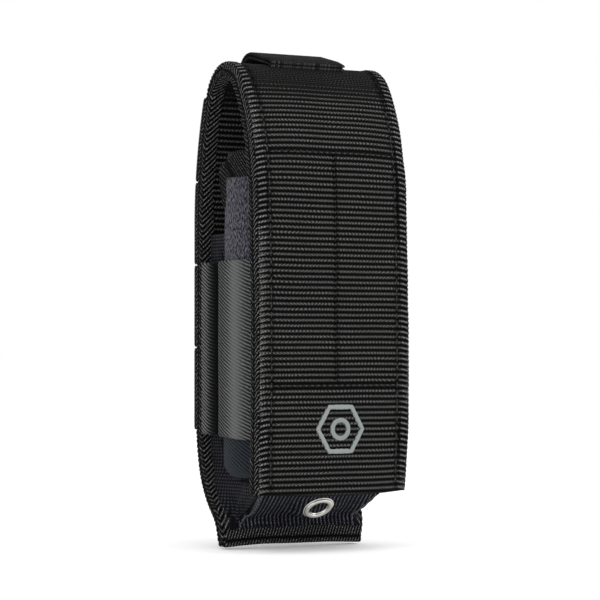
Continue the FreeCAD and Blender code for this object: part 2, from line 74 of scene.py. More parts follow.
# ---- lines made of runs and round turns
def walk(start, heading, moves):
    # Keeps each leg's length, start point, heading and curvature; a move is (length, 0) or (radius, degrees).
    legs = []
    (y, z), angle = start, math.radians(heading)
    for amount, bend in moves:
        turned = math.radians(bend)
        length = amount * abs(turned) if bend else amount
        curve = turned / length if bend else 0.0
        legs.append((length, y, z, angle, curve))
        if bend:
            y += (math.sin(angle + turned) - math.sin(angle)) / curve
            z -= (math.cos(angle + turned) - math.cos(angle)) / curve
        else:
            y += length * math.cos(angle)
            z += length * math.sin(angle)
        angle += turned
    return legs


def lengthOf(legs):
    return sum(leg[0] for leg in legs)


def along(legs, s):
    # Point and outward (right-hand) direction at distances s: a straight leg adds s times its heading,
    # a turn moves round its centre by s times its curvature.
    s = np.asarray(s, float)
    first, second = np.zeros_like(s), np.zeros_like(s)
    outFirst, outSecond = np.zeros_like(s), np.zeros_like(s)
    begun = 0.0
    for number, (length, y, z, angle, curve) in enumerate(legs):
        here = (s >= begun) if number else np.ones_like(s, bool)
        t = s - begun
        now = angle + curve * t
        if curve:
            py = y + (np.sin(now) - math.sin(angle)) / curve
            pz = z - (np.cos(now) - math.cos(angle)) / curve
        else:
            py = y + t * math.cos(angle)
            pz = z + t * math.sin(angle)
        first = np.where(here, py, first)
        second = np.where(here, pz, second)
        outFirst = np.where(here, np.sin(now), outFirst)
        outSecond = np.where(here, -np.cos(now), outSecond)
        begun += length
    return first, second, outFirst, outSecond


def easeTurn(gap, rise):
    # Two equal and opposite arcs that shift a line sideways by gap within rise: their angle and joint radius.
    angle = 2 * math.atan2(gap, rise)
    return math.degrees(angle), rise / math.sin(angle)


# ---- meshes
def skin(name, points, quads, attributes, finish, body):
    # One mesh from corner points in millimetres and four-sided faces, with a UV map in millimetres.
    mesh = bpy.data.meshes.new(name)
    mesh.from_pydata((points * mm).tolist(), [], quads.tolist())
    mesh.update()
    corners = np.zeros(len(mesh.loops), np.int32)
    mesh.loops.foreach_get("vertex_index", corners)
    layer = mesh.uv_layers.new(name="cloth")
    uv = np.stack([attributes["u"][corners], attributes["v"][corners]], -1)
    layer.data.foreach_set("uv", uv.astype(np.float32).ravel())
    ridge = mesh.attributes.new("ridge", "FLOAT", "POINT")
    ridge.data.foreach_set("value", attributes["ridge"].astype(np.float32))
    mesh.polygons.foreach_set("use_smooth", np.ones(len(mesh.polygons), bool))
    mesh.set_sharp_from_angle(angle=math.radians(62))
    mesh.materials.append(finish)
    piece = bpy.data.objects.new(name, mesh)
    bpy.context.scene.collection.objects.link(piece)
    if body:
        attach(piece, body)
    return piece


def slab(name, outer, inner, finish, body, u=None, v=None, ridge=None, innerRidge=None, ring=False):
    # A sheet with thickness: a grid of outer points, the same grid of inner points, and the rim between
    # them. Rows run along the cloth and columns across it; ring joins the last row to the first.
    rows, cols = outer.shape[:2]
    blank = np.zeros((rows, cols))
    u = blank if u is None else u + blank
    v = blank if v is None else v + blank
    ridge = blank + 0.6 if ridge is None else ridge
    innerRidge = blank + 0.4 if innerRidge is None else innerRidge
    points = np.concatenate([outer.reshape(-1, 3), inner.reshape(-1, 3)])
    top = np.arange(rows * cols).reshape(rows, cols)
    if ring:
        top = np.vstack([top, top[:1]])
    under = top + rows * cols
    quads = [np.stack([top[:-1, :-1], top[:-1, 1:], top[1:, 1:], top[1:, :-1]], -1).reshape(-1, 4)]
    below = np.stack([under[:-1, :-1], under[1:, :-1], under[1:, 1:], under[:-1, 1:]], -1)
    quads.append(below.reshape(-1, 4))
    for a, b in ((top[:, 0], under[:, 0]), (under[:, -1], top[:, -1])):
        quads.append(np.stack([a[:-1], a[1:], b[1:], b[:-1]], -1))
    if not ring:
        for a, b in ((top[-1], under[-1]), (under[0], top[0])):
            quads.append(np.stack([a[:-1], a[1:], b[1:], b[:-1]], -1))
    quads = np.concatenate(quads)
    # Turns every face over if the outer face points inwards.
    p = outer[rows // 2, cols // 2] - inner[rows // 2, cols // 2]
    row = outer[rows // 2 + 1, cols // 2] - outer[rows // 2, cols // 2]
    col = outer[rows // 2, cols // 2 + 1] - outer[rows // 2, cols // 2]
    if np.dot(np.cross(col, row), p) < 0:
        quads = quads[:, ::-1]
    attributes = {
        "u": np.concatenate([u.ravel(), u.ravel()]),
        "v": np.concatenate([v.ravel(), v.ravel()]),
        "ridge": np.concatenate([ridge.ravel(), innerRidge.ravel()]),
    }
    return skin(name, points, quads, attributes, finish, body)


def bump(x, centre, width):
    return np.exp(-((x - centre) / width) ** 2)


def roundOff(distance, radius):
    # How far a face drops near a rim: a quarter circle of this radius, nothing beyond it.
    d = np.clip(distance / radius, 0, 1)
    return radius * (1 - np.sqrt(np.clip(1 - (1 - d) ** 2, 0, 1)))


def wander(s, scale, seed):
    # A slow smooth waver between -1 and 1: three sines of unrelated length.
    phase = np.random.default_rng(seed).uniform(0, 6.28, 3)
    return sum(np.sin(s / scale * rate + start) for rate, start in zip((1.0, 1.7, 0.43), phase)) / 3


# ---- materials
def newFinish(name, roughness=0.8, sheen=0.0, metallic=0.0):
    material = bpy.data.materials.new(name)
    material.use_nodes = True
    tree = material.node_tree
    shader = tree.nodes["Principled BSDF"]
    shader.inputs["Roughness"].default_value = roughness
    shader.inputs["Metallic"].default_value = metallic
    shader.inputs["Sheen Weight"].default_value = sheen
    shader.inputs["Sheen Roughness"].default_value = 0.5
    shader.inputs["Specular IOR Level"].default_value = 0.5 if metallic else 0.06
    return material, tree, shader


def put(tree, kind, settings=None, **values):
    # Adds a node, sets its options, and links or fills its sockets by name.
    node = tree.nodes.new(kind)
    for key, value in (settings or {}).items():
        setattr(node, key, value)
    for key, value in values.items():
        socket = node.inputs[int(key[1:])] if key[1:].isdigit() else node.inputs[key.replace("_", " ")]
        if isinstance(value, bpy.types.NodeSocket):
            tree.links.new(value, socket)
        else:
            socket.default_value = value
    return node


def calc(tree, operation, a, b=0.0, clamp=False):
    return put(tree, "ShaderNodeMath", {"operation": operation, "use_clamp": clamp}, i0=a, i1=b).outputs[0]


def times(tree, a, b, clamp=False):
    return calc(tree, "MULTIPLY", a, b, clamp)


def plus(tree, a, b, clamp=False):
    return calc(tree, "ADD", a, b, clamp)


def vary(tree, level, noise, gain, base, clamp=False):
    # Multiplies level by a noise that is scaled by gain and raised by base.
    return times(tree, level, plus(tree, times(tree, noise, gain), base), clamp)


def clothCoordinates(tree):
    # The piece's own UV map, in millimetres across and along the cloth.
    uv = put(tree, "ShaderNodeUVMap", {"uv_map": "cloth"}).outputs[0]
    parts = put(tree, "ShaderNodeSeparateXYZ", i0=uv)
    return uv, parts.outputs[0], parts.outputs[1]


def speckle(tree, vector, scale, detail=3.0, stretch=(1, 1, 1)):
    moved = put(tree, "ShaderNodeMapping", Vector=vector, Scale=stretch).outputs[0]
    return put(tree, "ShaderNodeTexNoise", Vector=moved, Scale=scale, Detail=detail, Roughness=0.6).outputs[0]


def wave(tree, value, pitch, phase=0.0):
    # Half a cosine wave, from 0 in the valleys to 1 on the ridges.
    turned = plus(tree, times(tree, value, 2 * math.pi / pitch), phase)
    return plus(tree, times(tree, calc(tree, "COSINE", turned), 0.5), 0.5)


def blendColours(tree, factor, dark, light, middle=None):
    ramp = put(tree, "ShaderNodeValToRGB", Fac=factor)
    ramp.color_ramp.elements[0].color = (*dark, 1)
    ramp.color_ramp.elements[1].color = (*light, 1)
    if middle:
        step = ramp.color_ramp.elements.new(middle[0])
        step.color = (*middle[1], 1)
    return ramp.outputs[0]


def emboss(tree, shader, height, distance, strength=1.0):
    lifted = put(tree, "ShaderNodeBump", Height=height, Distance=distance * mm, Strength=strength)
    tree.links.new(lifted.outputs[0], shader.inputs["Normal"])


# valley and ridge are the colours of the rib valleys and crests: painted shade and a painted highlight that
# follow the ribs.
ribbed = {
    "valley": (0.0008, 0.0008, 0.0009),
    "ridge": (0.112, 0.114, 0.109),
    "threadPitch": 0.62,
    "beadPitch": 1.15,
    "depth": 3.6,           # higher makes the valleys darker
    "threads": (1.6, 0.0),  # gain and base of each variation
    "beads": (1.6, 0.12),
    "fine": (1.2, 0.3),
    "broad": (0.5, 0.75),
    "beadShift": 6.0,       # how far the beads of one rib stand off from those of the next
    "lift": 0.12,
}


def ribbedFinish(name, look):
    # Warp threads laid over thick ribs: the ridge attribute paints the valleys dark as painted shade and the
    # crests light as a painted highlight; each rib is broken into beads by the warp, noise varies them, and a
    # fine cross weave is raised on it.
    material, tree, shader = newFinish(name, 0.85)
    uv, u, v = clothCoordinates(tree)
    ridge = put(tree, "ShaderNodeAttribute", {"attribute_name": "ridge"}).outputs["Fac"]
    threads = speckle(tree, uv, 1.0, 3.0, (1.5, 1.3, 1))
    fine = speckle(tree, uv, 1.0, 2.0, (4.0, 3.0, 1))
    broad = speckle(tree, uv, 0.05, 2.0)
    ribPlace = put(tree, "ShaderNodeCombineXYZ", i0=times(tree, u, 0.06), i1=times(tree, v, 0.9)).outputs[0]
    shift = times(tree, speckle(tree, ribPlace, 1.0, 1.0), look["beadShift"])
    beads = wave(tree, plus(tree, u, shift), look["beadPitch"])
    paintedRibShade = calc(tree, "POWER", ridge, look["depth"])
    level = vary(tree, paintedRibShade, threads, *look["threads"])
    level = vary(tree, level, beads, *look["beads"])
    level = vary(tree, level, fine, *look["fine"])
    level = vary(tree, level, broad, *look["broad"], True)
    tree.links.new(blendColours(tree, level, look["valley"], look["ridge"]), shader.inputs["Base Color"])
    weave = times(tree, wave(tree, u, look["threadPitch"]), wave(tree, v, look["threadPitch"]))
    emboss(tree, shader, plus(tree, plus(tree, weave, threads), beads), look["lift"])
    return material


basket = {"valley": (0.001, 0.001, 0.002), "ridge": (0.050, 0.052, 0.066), "pitch": 2.0}


def basketFinish(name, look):
    # Ballistic nylon: square checks whose threads run across in one check and along in the next.
    material, tree, shader = newFinish(name, 0.62, 0.02)
    uv, u, v = clothCoordinates(tree)
    pitch = look["pitch"]
    sines = [calc(tree, "SINE", times(tree, axis, 2 * math.pi / pitch)) for axis in (u, v)]
    check = calc(tree, "GREATER_THAN", times(tree, *sines), 0.0)
    lines = [wave(tree, axis, pitch / 4) for axis in (u, v)]
    swells = [calc(tree, "ABSOLUTE", sine) for sine in sines]
    woven = put(tree, "ShaderNodeMix", {"data_type": "FLOAT"}, i0=check, i2=lines[0], i3=lines[1]).outputs[0]
    swell = times(tree, *swells)
    height = plus(tree, times(tree, woven, 0.35), swell)
    patches = speckle(tree, uv, 0.35, 3.0)
    level = times(tree, calc(tree, "POWER", swell, 2.0), 0.9)
    level = times(tree, level, plus(tree, patches, 0.35), True)
    tree.links.new(blendColours(tree, level, look["valley"], look["ridge"]), shader.inputs["Base Color"])
    emboss(tree, shader, height, 0.22)
    return material


twill = {
    "valley": (0.002, 0.0022, 0.0022),
    "ridge": (0.165, 0.169, 0.168),
    "pitch": 0.95,
    "angle": 28.0,
    "smooth": (0.105, 0.108, 0.108),
}


def twillFinish(name, look):
    # Elastic twill: slanted cords across the band; where the ridge attribute is above 0 it is worn smooth and
    # painted lighter as a highlight, and below 0 the threads are painted darker as shade in the fold.
    material, tree, shader = newFinish(name, 0.7, 0.03)
    uv, u, v = clothCoordinates(tree)
    wornHighlightAndFoldShade = put(tree, "ShaderNodeAttribute", {"attribute_name": "ridge"}).outputs["Fac"]
    slant = math.radians(look["angle"])
    wobble = times(tree, speckle(tree, uv, 0.5, 2.0), 0.5)
    line = plus(tree, times(tree, u, math.sin(slant)), times(tree, v, math.cos(slant)))
    cords = wave(tree, plus(tree, line, wobble), look["pitch"])
    grain = speckle(tree, uv, 1.6, 2.0)
    fine = vary(tree, calc(tree, "POWER", cords, 2.2), grain, 1.4, 0.15, True)
    # Below 0 the cords are painted darker: painted shade in the fold.
    fine = times(tree, fine, plus(tree, wornHighlightAndFoldShade, 1.0, True), True)
    corded = blendColours(tree, fine, look["valley"], look["ridge"])
    # Above 0 the colour turns to the flat smooth colour: worn smooth, and lighter as a painted highlight.
    share = calc(tree, "MAXIMUM", wornHighlightAndFoldShade, 0.0)
    colour = put(tree, "ShaderNodeMix", {"data_type": "RGBA"}, i0=share, i6=corded, i7=(*look["smooth"], 1))
    tree.links.new(colour.outputs[2], shader.inputs["Base Color"])
    height = times(tree, cords, calc(tree, "SUBTRACT", 1.15, wornHighlightAndFoldShade))
    emboss(tree, shader, plus(tree, height, times(tree, grain, 0.4)), 0.14)
    return material


fuzz = {"valley": (0.003, 0.003, 0.0045), "ridge": (0.115, 0.112, 0.138), "smooth": (0.030, 0.040, 0.050)}


def fuzzFinish(name, look, strands=(2.6, 0.9, 1)):
    # Loop pile: short upright strands lying in a loose herringbone; where the ridge attribute is high the
    # pile is pressed flat and smooth.
    material, tree, shader = newFinish(name, 0.95, 0.06)
    _, u, v = clothCoordinates(tree)
    flat = put(tree, "ShaderNodeAttribute", {"attribute_name": "ridge"}).outputs["Fac"]
    lean = times(tree, calc(tree, "PINGPONG", u, 1.3), 1.1)
    place = put(tree, "ShaderNodeCombineXYZ", i0=u, i1=plus(tree, v, lean)).outputs[0]
    strand = speckle(tree, place, 1.0, 4.0, strands)
    level = times(tree, calc(tree, "SUBTRACT", strand, 0.42), 5.0, True)
    pile = blendColours(tree, level, look["valley"], look["ridge"])
    slant = wave(tree, plus(tree, times(tree, u, 0.7), v), 1.1)
    sheenLine = times(tree, slant, plus(tree, strand, 0.3))
    pressed = blendColours(tree, sheenLine, look["valley"], look["smooth"])
    colour = put(tree, "ShaderNodeMix", {"data_type": "RGBA"}, i0=flat, i6=pile, i7=pressed).outputs[2]
    tree.links.new(colour, shader.inputs["Base Color"])
    emboss(tree, shader, strand, 0.4)
    return material


hooks = {"valley": (0.004, 0.004, 0.004), "ridge": (0.05, 0.05, 0.052), "pitch": 1.0}


def hookFinish(name, look):
    # Hook tape: rows of tiny dots, every second row moved half a pitch.
    material, tree, shader = newFinish(name, 0.55)
    _, u, v = clothCoordinates(tree)
    dots = times(tree, wave(tree, u, look["pitch"]), wave(tree, v, look["pitch"] * 0.8))
    tree.links.new(blendColours(tree, dots, look["valley"], look["ridge"]), shader.inputs["Base Color"])
    emboss(tree, shader, dots, 0.6)
    return material


def plainWeaveFinish(name, dark, light, pitch=0.7, roughness=0.7):
    # Fine plain weave: threads over and under in both directions.
    material, tree, shader = newFinish(name, roughness, 0.08)
    uv, u, v = clothCoordinates(tree)
    over = wave(tree, plus(tree, u, v), pitch)
    under = wave(tree, calc(tree, "SUBTRACT", u, v), pitch)
    grain = speckle(tree, uv, 1.2, 3.0)
    weave = times(tree, over, under)
    level = times(tree, plus(tree, weave, 0.25), plus(tree, grain, 0.3), True)
    tree.links.new(blendColours(tree, level, dark, light), shader.inputs["Base Color"])
    emboss(tree, shader, plus(tree, weave, times(tree, grain, 0.5)), 0.13)
    return material


def threadFinish(name, dark, light, roughness=0.45):
    # Twisted thread: the ridge attribute shades its strands.
    material, tree, shader = newFinish(name, roughness, 0.05)
    uv = clothCoordinates(tree)[0]
    ridge = put(tree, "ShaderNodeAttribute", {"attribute_name": "ridge"}).outputs["Fac"]
    grain = speckle(tree, uv, 2.5, 2.0)
    level = times(tree, ridge, plus(tree, grain, 0.5), True)
    tree.links.new(blendColours(tree, level, dark, light), shader.inputs["Base Color"])
    emboss(tree, shader, grain, 0.05)
    return material


def metalFinish(name, colour, roughness, metallic=1.0):
    # Plated metal with faint rubbing marks, in Object coordinates.
    material, tree, shader = newFinish(name, roughness, 0.0, metallic)
    place = put(tree, "ShaderNodeTexCoord").outputs["Object"]
    marks = speckle(tree, place, 900.0, 4.0, (1, 1, 0.3))
    shade = tuple(c * 0.72 for c in colour)
    tree.links.new(blendColours(tree, marks, shade, colour), shader.inputs["Base Color"])
    rough = plus(tree, times(tree, marks, 0.18), roughness - 0.08)
    tree.links.new(rough, shader.inputs["Roughness"])
    return material


webbingFinish = ribbedFinish("webbing", ribbed)
tapeLook = dict(ribbed, ridge=(0.24, 0.243, 0.237), threadPitch=0.5, beadPitch=0.9, depth=5.5)
tapeFinish = ribbedFinish("bindingTape", tapeLook)
# The lining is the same webbing painted lighter, so that it reads in the shade inside the sheath: painted
# light.
brightenedLiningFinish = ribbedFinish("brightenedLiningWebbing", dict(ribbed, ridge=(0.14, 0.14, 0.137)))
strapFinish = ribbedFinish("strapWebbing", dict(ribbed, ridge=(0.150, 0.152, 0.147), depth=2.6))
nylonFinish = basketFinish("ballisticNylon", basket)
innerNylonFinish = plainWeaveFinish("pocketLiningNylon", (0.004, 0.004, 0.005), (0.03, 0.031, 0.035))
elasticFinish = twillFinish("elastic", twill)
loopFinish = fuzzFinish("loopPile", fuzz)
hookFinishBlack = hookFinish("hookTape", hooks)
foamFinish = plainWeaveFinish("foam", (0.02, 0.02, 0.022), (0.05, 0.05, 0.052), 1.4, 0.9)
stiffenerFinish = plainWeaveFinish("stiffener", (0.015, 0.015, 0.015), (0.04, 0.04, 0.04), 2.0, 0.5)
threadBlack = threadFinish("blackThread", (0.004, 0.004, 0.004), (0.06, 0.06, 0.058))
threadPale = threadFinish("paleThread", (0.02, 0.021, 0.022), (0.15, 0.155, 0.16))
threadGrey = threadFinish("greyThread", (0.06, 0.065, 0.063), (0.30, 0.33, 0.32))
nickelFinish = metalFinish("nickel", (0.80, 0.78, 0.74), 0.22)
snapBlackFinish = metalFinish("blackSnap", (0.035, 0.035, 0.037), 0.38)
snapMetalFinish = metalFinish("snapMetal", (0.30, 0.29, 0.28), 0.35)
print("materials made")


# ---- the long webbing: up the back, over the crown and down the flap
webbing = {
    "ribPitch": 1.62,
    "ribLift": 0.30,
    "thick": 2.0,
    "lining": low("hook_panel")[1] - low("flap_lining")[1],
    "footDraw": 0.07,       # the bottom seam draws the back in by this share
    "footReach": 16.0,      # and up to this length from it
    "puff": 0.7,            # the flap swells forward in its middle
    "proud": 0.35,          # the cloth stands this far out, almost level with its edge tape
    "hemSag": 0.9,          # the flap's lower edge hangs lower in its middle
    "plainReach": 12.0,     # the crown is woven fine and flat this far to both sides of its top
    "seamDepth": 11.3,
    "seamRise": 31.3,
    "seamRun": 4.1,
    "seamBend": 8.0,
    "backStraight": 62.0,
    "crownDepth": 18.2,
    "crownRadius": 12.0,
    "leanRise": 36.0,
    "dropRise": 28.0,
    "stepsPerRib": 8,
    "stepsAcross": 50,
}
seamAngle, seamRadii = easeTurn(webbing["seamDepth"], webbing["seamRise"])
leanAngle, leanReach = easeTurn(webbing["crownDepth"] - webbing["crownRadius"], webbing["leanRise"])
dropShift = backFace - flapFace - webbing["crownDepth"] - webbing["crownRadius"]
dropAngle, dropReach = easeTurn(dropShift, webbing["dropRise"])
crownHeight = crownTop - webbing["crownRadius"]
flapStraight = crownHeight - webbing["dropRise"] - hemHeight
backMoves = [
    (webbing["seamRun"], 0),
    (webbing["seamBend"], -seamAngle),
    (seamRadii - webbing["seamBend"], seamAngle),
    (webbing["backStraight"], 0),
    (leanReach + webbing["crownRadius"], leanAngle),
]
route = walk(
    (backFace - webbing["seamDepth"], footHeight + soleThick),
    90,
    backMoves + [
        (webbing["crownRadius"], 180 - leanAngle - dropAngle),
        (dropReach + webbing["crownRadius"], dropAngle),
        (flapStraight, 0),
    ],
)
total = lengthOf(route)
foldOne = lengthOf(walk((0, 0), 90, backMoves))
apex = foldOne + webbing["crownRadius"] * math.radians(90 - leanAngle)
foldTwo = foldOne + webbing["crownRadius"] * math.radians(180 - leanAngle - dropAngle)
flapCurl = {"upper": 1.8, "lower": 2.4, "lowerReach": 30.0, "begin": 26, "fade": 50, "leftShare": 0.35}


def foldBlend(piece):
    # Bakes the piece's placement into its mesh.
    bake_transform(piece)


def curl(x, s):
    # The flap's edges turn back a little below the crown, and more at the two lower corners: the curl
    # grows with the cube of the distance from the middle.
    c = flapCurl
    begin = np.clip((s - foldTwo) / c["begin"], 0, 1)
    upper = c["upper"] * begin * (1 - np.clip((s - foldTwo - c["begin"]) / c["fade"], 0, 1))
    lower = c["lower"] * np.clip((s - total + c["lowerReach"]) / c["lowerReach"], 0, 1) ** 2
    lower = lower * np.where(x > 0, 1.0, c["leftShare"])
    return (upper + lower) * np.abs(x / halfWidth) ** 3


def onRoute(x, s, h):
    # A point x across, s along and h out from the webbing's outer line.
    y, z, ny, nz = along(route, s)
    x = x * (1 - webbing["footDraw"] * np.clip(1 - s / webbing["footReach"], 0, 1) ** 1.5)
    x, h = np.broadcast_arrays(x, h - curl(x, s))
    return np.stack(np.broadcast_arrays(x, y + ny * h, z + nz * h), -1)


def ribWave(phase, sharp=0.75):
    # Round ribs with narrow valleys: a raised cosine to a power below one.
    return (0.5 + 0.5 * np.cos(2 * np.pi * phase)) ** sharp


stitchRows = {
    "upper": 118.5,
    "lower": 49.0,
    "reach": halfWidth - 5.0,
    "dashes": 21,
    "dent": 0.32,
    "edgeSide": halfWidth - 4.4,
    "edgePitch": 3.1,
    "acrossThread": (1.55, 0.24),       # length and radius of one stitch
    "downThread": (0.9, 0.2),
    "edgeThread": (1.7, 0.2),
}


def heightToLength(height):
    return total - (height + footHeight - hemHeight)


flapWaver = {"grow": 20, "along": 0.35, "alongScale": 11.0, "across": 0.2, "acrossScale": 6.0}


def flapSwell(x, s, puff):
    # How far the flap's face stands out: a parabola across it and two slow wavers, which begin at the
    # second fold and grow over a short length.
    onFlap = np.clip((s - foldTwo) / flapWaver["grow"], 0, 1)
    sag = flapWaver["along"] * wander(s, flapWaver["alongScale"], 5)
    sag = sag + flapWaver["across"] * wander(x * 0.8 + s * 0.1, flapWaver["acrossScale"], 8)
    return onFlap * (puff * (1 - (x / webbingSide) ** 2) + sag)


def webbingPart(name, start, end, depth, thick, finish, pitch, lift, puffed, hem, perRib, acrossSteps):
    # Webbing from start to end along the route, depth below its outer line; ribs run across it.
    ribs = (end - start) / pitch
    rows = int(ribs * perRib) + 1
    side = webbingSide
    columns = np.linspace(-side, side, acrossSteps)
    if puffed:
        seams = np.array([-0.8, -0.5, -0.25, 0.0, 0.25, 0.5, 0.8])
        edge = stitchRows["edgeSide"] + np.array([-0.3, 0.0, 0.3])
        columns = np.union1d(columns, np.concatenate([seams, edge, -edge]))
    s = np.linspace(start, end, rows)[:, None] * np.ones((1, len(columns)))
    x = columns[None, :] * np.ones((rows, 1))
    if hem:
        s = s + webbing["hemSag"] * (1 - (x / side) ** 2) * np.clip((s - end + 60) / 60, 0, 1)
    phase = (s - apex) / pitch + 0.5 + 0.05 * wander(x + s * 0.3, 6.0, 3)
    ribbedPart = np.clip((np.abs(s - apex) - webbing["plainReach"]) / 8, 0, 1)
    ridge = ribWave(phase) * ribbedPart + (0.52 + 0.22 * np.cos(4 * np.pi * phase)) * (1 - ribbedPart)
    proud = webbing["proud"] if depth == 0 else 0.0
    out = proud - depth + lift * (ridge - 0.6)
    if puffed:
        out += flapSwell(x, s, puffed)
        dashes = 0.5 - 0.5 * np.cos(2 * np.pi * (x / (2 * stitchRows["reach"]) * stitchRows["dashes"] + 0.5))
        inside = np.clip((stitchRows["reach"] + 0.8 - np.abs(x)) / 0.8, 0, 1)
        press = np.zeros_like(x)
        for word in ("upper", "lower"):
            level = heightToLength(stitchRows[word])
            press += bump(s, level, 0.7) * inside * (0.25 + 0.75 * dashes)
        between = np.clip((s - heightToLength(stitchRows["upper"])) / 1.0, 0, 1)
        between *= np.clip((heightToLength(stitchRows["lower"]) - s) / 1.0, 0, 1)
        press += 1.0 * bump(x, 0.22 * np.sign(np.sin(2 * np.pi * phase)), 0.4) * between
        edgeTicks = 0.6 + 0.4 * np.cos(2 * np.pi * s / stitchRows["edgePitch"])
        press += 0.9 * bump(np.abs(x), stitchRows["edgeSide"], 0.4) * edgeTicks
        out -= stitchRows["dent"] * press
        # The stitch dents are also painted darker, a painted shade in the dents.
        ridge = ridge * (1 - 0.85 * np.clip(press, 0, 1))
    inner = -depth - thick - (lift * (ridge - 0.6) if depth else 0 * s)
    if hem:
        left = s[-1:] - s
        drop = roundOff(left, thick * 0.5)
        out = out - drop
        inner = inner + drop
        folded = np.clip(left / 0.9, 0, 1)
        ridge = ridge * folded + 0.35 * (1 - folded)
    return slab(
        name, onRoute(x, s, out), onRoute(x, s, inner), finish, None,
        u=x, v=s, ridge=ridge, innerRidge=ridge,
    )


back = webbingPart(
    "backWebbing", 0.0, apex, 0.0, webbing["thick"], webbingFinish,
    webbing["ribPitch"], webbing["ribLift"], 0.0, False, 8, 40,
)
foldBlend(back)
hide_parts("back_webbing", "crown_webbing")

flap = webbingPart(
    "flapWebbing", apex, total, 0.0, webbing["thick"], webbingFinish,
    webbing["ribPitch"], webbing["ribLift"], webbing["puff"], True,
    webbing["stepsPerRib"], webbing["stepsAcross"],
)
foldBlend(flap)
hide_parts("flap_webbing")

liningPitch = 1.75
backLining = webbingPart(
    "backLining", 0.0, apex, webbing["thick"], 0.8, brightenedLiningFinish, liningPitch, 0.2, 0.0, False, 7, 24,
)
foldBlend(backLining)
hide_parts("back_lining", "crown_lining")
flapLining = webbingPart(
    "flapLining", apex, total, webbing["thick"], webbing["lining"], brightenedLiningFinish,
    liningPitch, 0.2, 0.0, True, 7, 24,
)
foldBlend(flapLining)
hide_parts("flap_lining")
print("webbing made")


# ---- tape folded round the long edges
edging = {
    "thick": 0.6,
    "cover": 4.0,
    "cornerRadius": 0.9,
    "ribPitch": 1.62,
    "braidPitch": 1.45,
    "braidSlant": 0.95,
    "uneven": 0.35,         # the braid's strokes wander by this much
    "spineWidth": 0.28,     # the dark line where the strokes meet
    "stitchPitch": 2.6,
    "lift": 0.30,
    "backDepth": 2.8,       # webbing and lining between the tape's leaves, on the back
    "rowStep": 0.23,
    "stepsAround": 44,
}


def cornered(lengths, turns, radius, count):
    # A line of straight lengths joined by right-angle corners of this radius, as evenly spaced points
    # with their outward directions.
    moves = []
    for number, length in enumerate(lengths):
        ends = (number > 0) + (number < len(lengths) - 1)
        moves.append((length - ends * radius, 0))
        if number < len(turns):
            moves.append((radius, turns[number]))
    legs = walk((0, 0), 0, moves)
    q = np.linspace(0, lengthOf(legs), count)
    across, out, sideDirection, outDirection = along(legs, q)
    way = -np.sign(turns[0])
    return q, across, out, -way * sideDirection, -way * outDirection


def edgeTape(name, start, end, depth, side, nodes, blendWith):
    # Binding tape: its cross-section runs over the outer face, round the edge and back over the inner
    # face; ribs slant across the face and a braid of slanted strokes covers the edge.
    e = edging
    thick, cover = e["thick"], e["cover"]
    deep = depth + 2 * thick
    q, across, out, nx, nh = cornered([cover, deep, cover], [-90, -90], e["cornerRadius"], e["stepsAround"])
    rows = int((end - start) / e["rowStep"])
    s = np.linspace(start, end, rows)[:, None] * np.ones((1, len(q)))
    q = q[None, :] * np.ones((rows, 1))
    x0 = halfWidth - cover + across[None, :]
    h0 = thick + out[None, :]
    around = q - cover + e["cornerRadius"] * 0.2
    faceRibs = ribWave((s - apex) / e["ribPitch"] + 0.5 - 0.055 * (q / 1.3) ** 2, 0.8)
    middle = deep / 2 - 0.3
    uneven = e["uneven"] * wander(s * 1.3 + q, 1.1, 13)
    braid = ribWave((s + e["braidSlant"] * np.abs(around - middle) + uneven) / e["braidPitch"], 1.1)
    spine = 1 - 0.8 * bump(around, middle, e["spineWidth"])
    onEdge = np.clip((around + 0.5) / 0.5, 0, 1) * np.clip((deep - around) / 0.4, 0, 1)
    # The ridge shapes the tape and paints it: dark in its dips, at the spine and the stitch line too, as
    # painted shade, and light on its crests as a painted highlight.
    ridge = faceRibs * (1 - onEdge) + braid * spine * onEdge
    stitched = bump(q, 0.35, 0.4) * (0.7 + 0.3 * np.cos(2 * np.pi * s / e["stitchPitch"]))
    ridge = ridge * (1 - 0.8 * stitched)
    lift = e["lift"] * (ridge - 0.6) + 0.1 * wander(s + q, 4.0, 11)
    lift -= roundOff(q, 0.7) * 0.6
    outer = onRoute(side * (x0 + nx[None, :] * lift), s, h0 + nh[None, :] * lift)
    inner = onRoute(side * (x0 - nx[None, :] * thick), s, h0 - nh[None, :] * thick)
    tape = slab(name, outer, inner, tapeFinish, None, u=q, v=s, ridge=ridge, innerRidge=0.3 * ridge)
    if blendWith == "first":
        foldBlend(tape)
    else:
        foldBlend(tape)
    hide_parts(*nodes)


tapeBottom = 0.5
for word, side in (("left", -1), ("right", 1)):
    edgeTape(
        "backEdgeTape_" + word, tapeBottom, apex, edging["backDepth"], side,
        ("back_binding_" + word, "crown_binding_" + word), "first",
    )
    edgeTape(
        "flapEdgeTape_" + word, apex, total, webbing["thick"] + webbing["lining"], side,
        ("flap_binding_" + word,), "second",
    )
print("edge tapes made")


# ---- hook tape and thread on the flap
hookTape = {"thick": 1.1, "gap": 0.1, "rim": 0.5, "steps": 60}


def hookPanel():
    # A flat rectangle under the flap's lining, with a rounded rim.
    least, most = low("hook_panel"), high("hook_panel")
    steps = hookTape["steps"]
    z = np.linspace(most[2], least[2], steps)[:, None] * np.ones((1, steps))
    x = np.linspace(least[0], most[0], steps)[None, :] * np.ones((steps, 1))
    s = total - (z - hemHeight)
    rim = np.minimum(np.minimum(x - least[0], most[0] - x), np.minimum(z - least[2], most[2] - z))
    drop = roundOff(rim, hookTape["rim"])
    under = -webbing["thick"] - webbing["lining"] - hookTape["gap"]
    face = onRoute(x, s, under - hookTape["thick"] + drop)
    panel = slab("hookPanel", face, onRoute(x, s, under + 0 * x), hookFinishBlack, "flap", u=x, v=s)
    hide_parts("hook_panel")


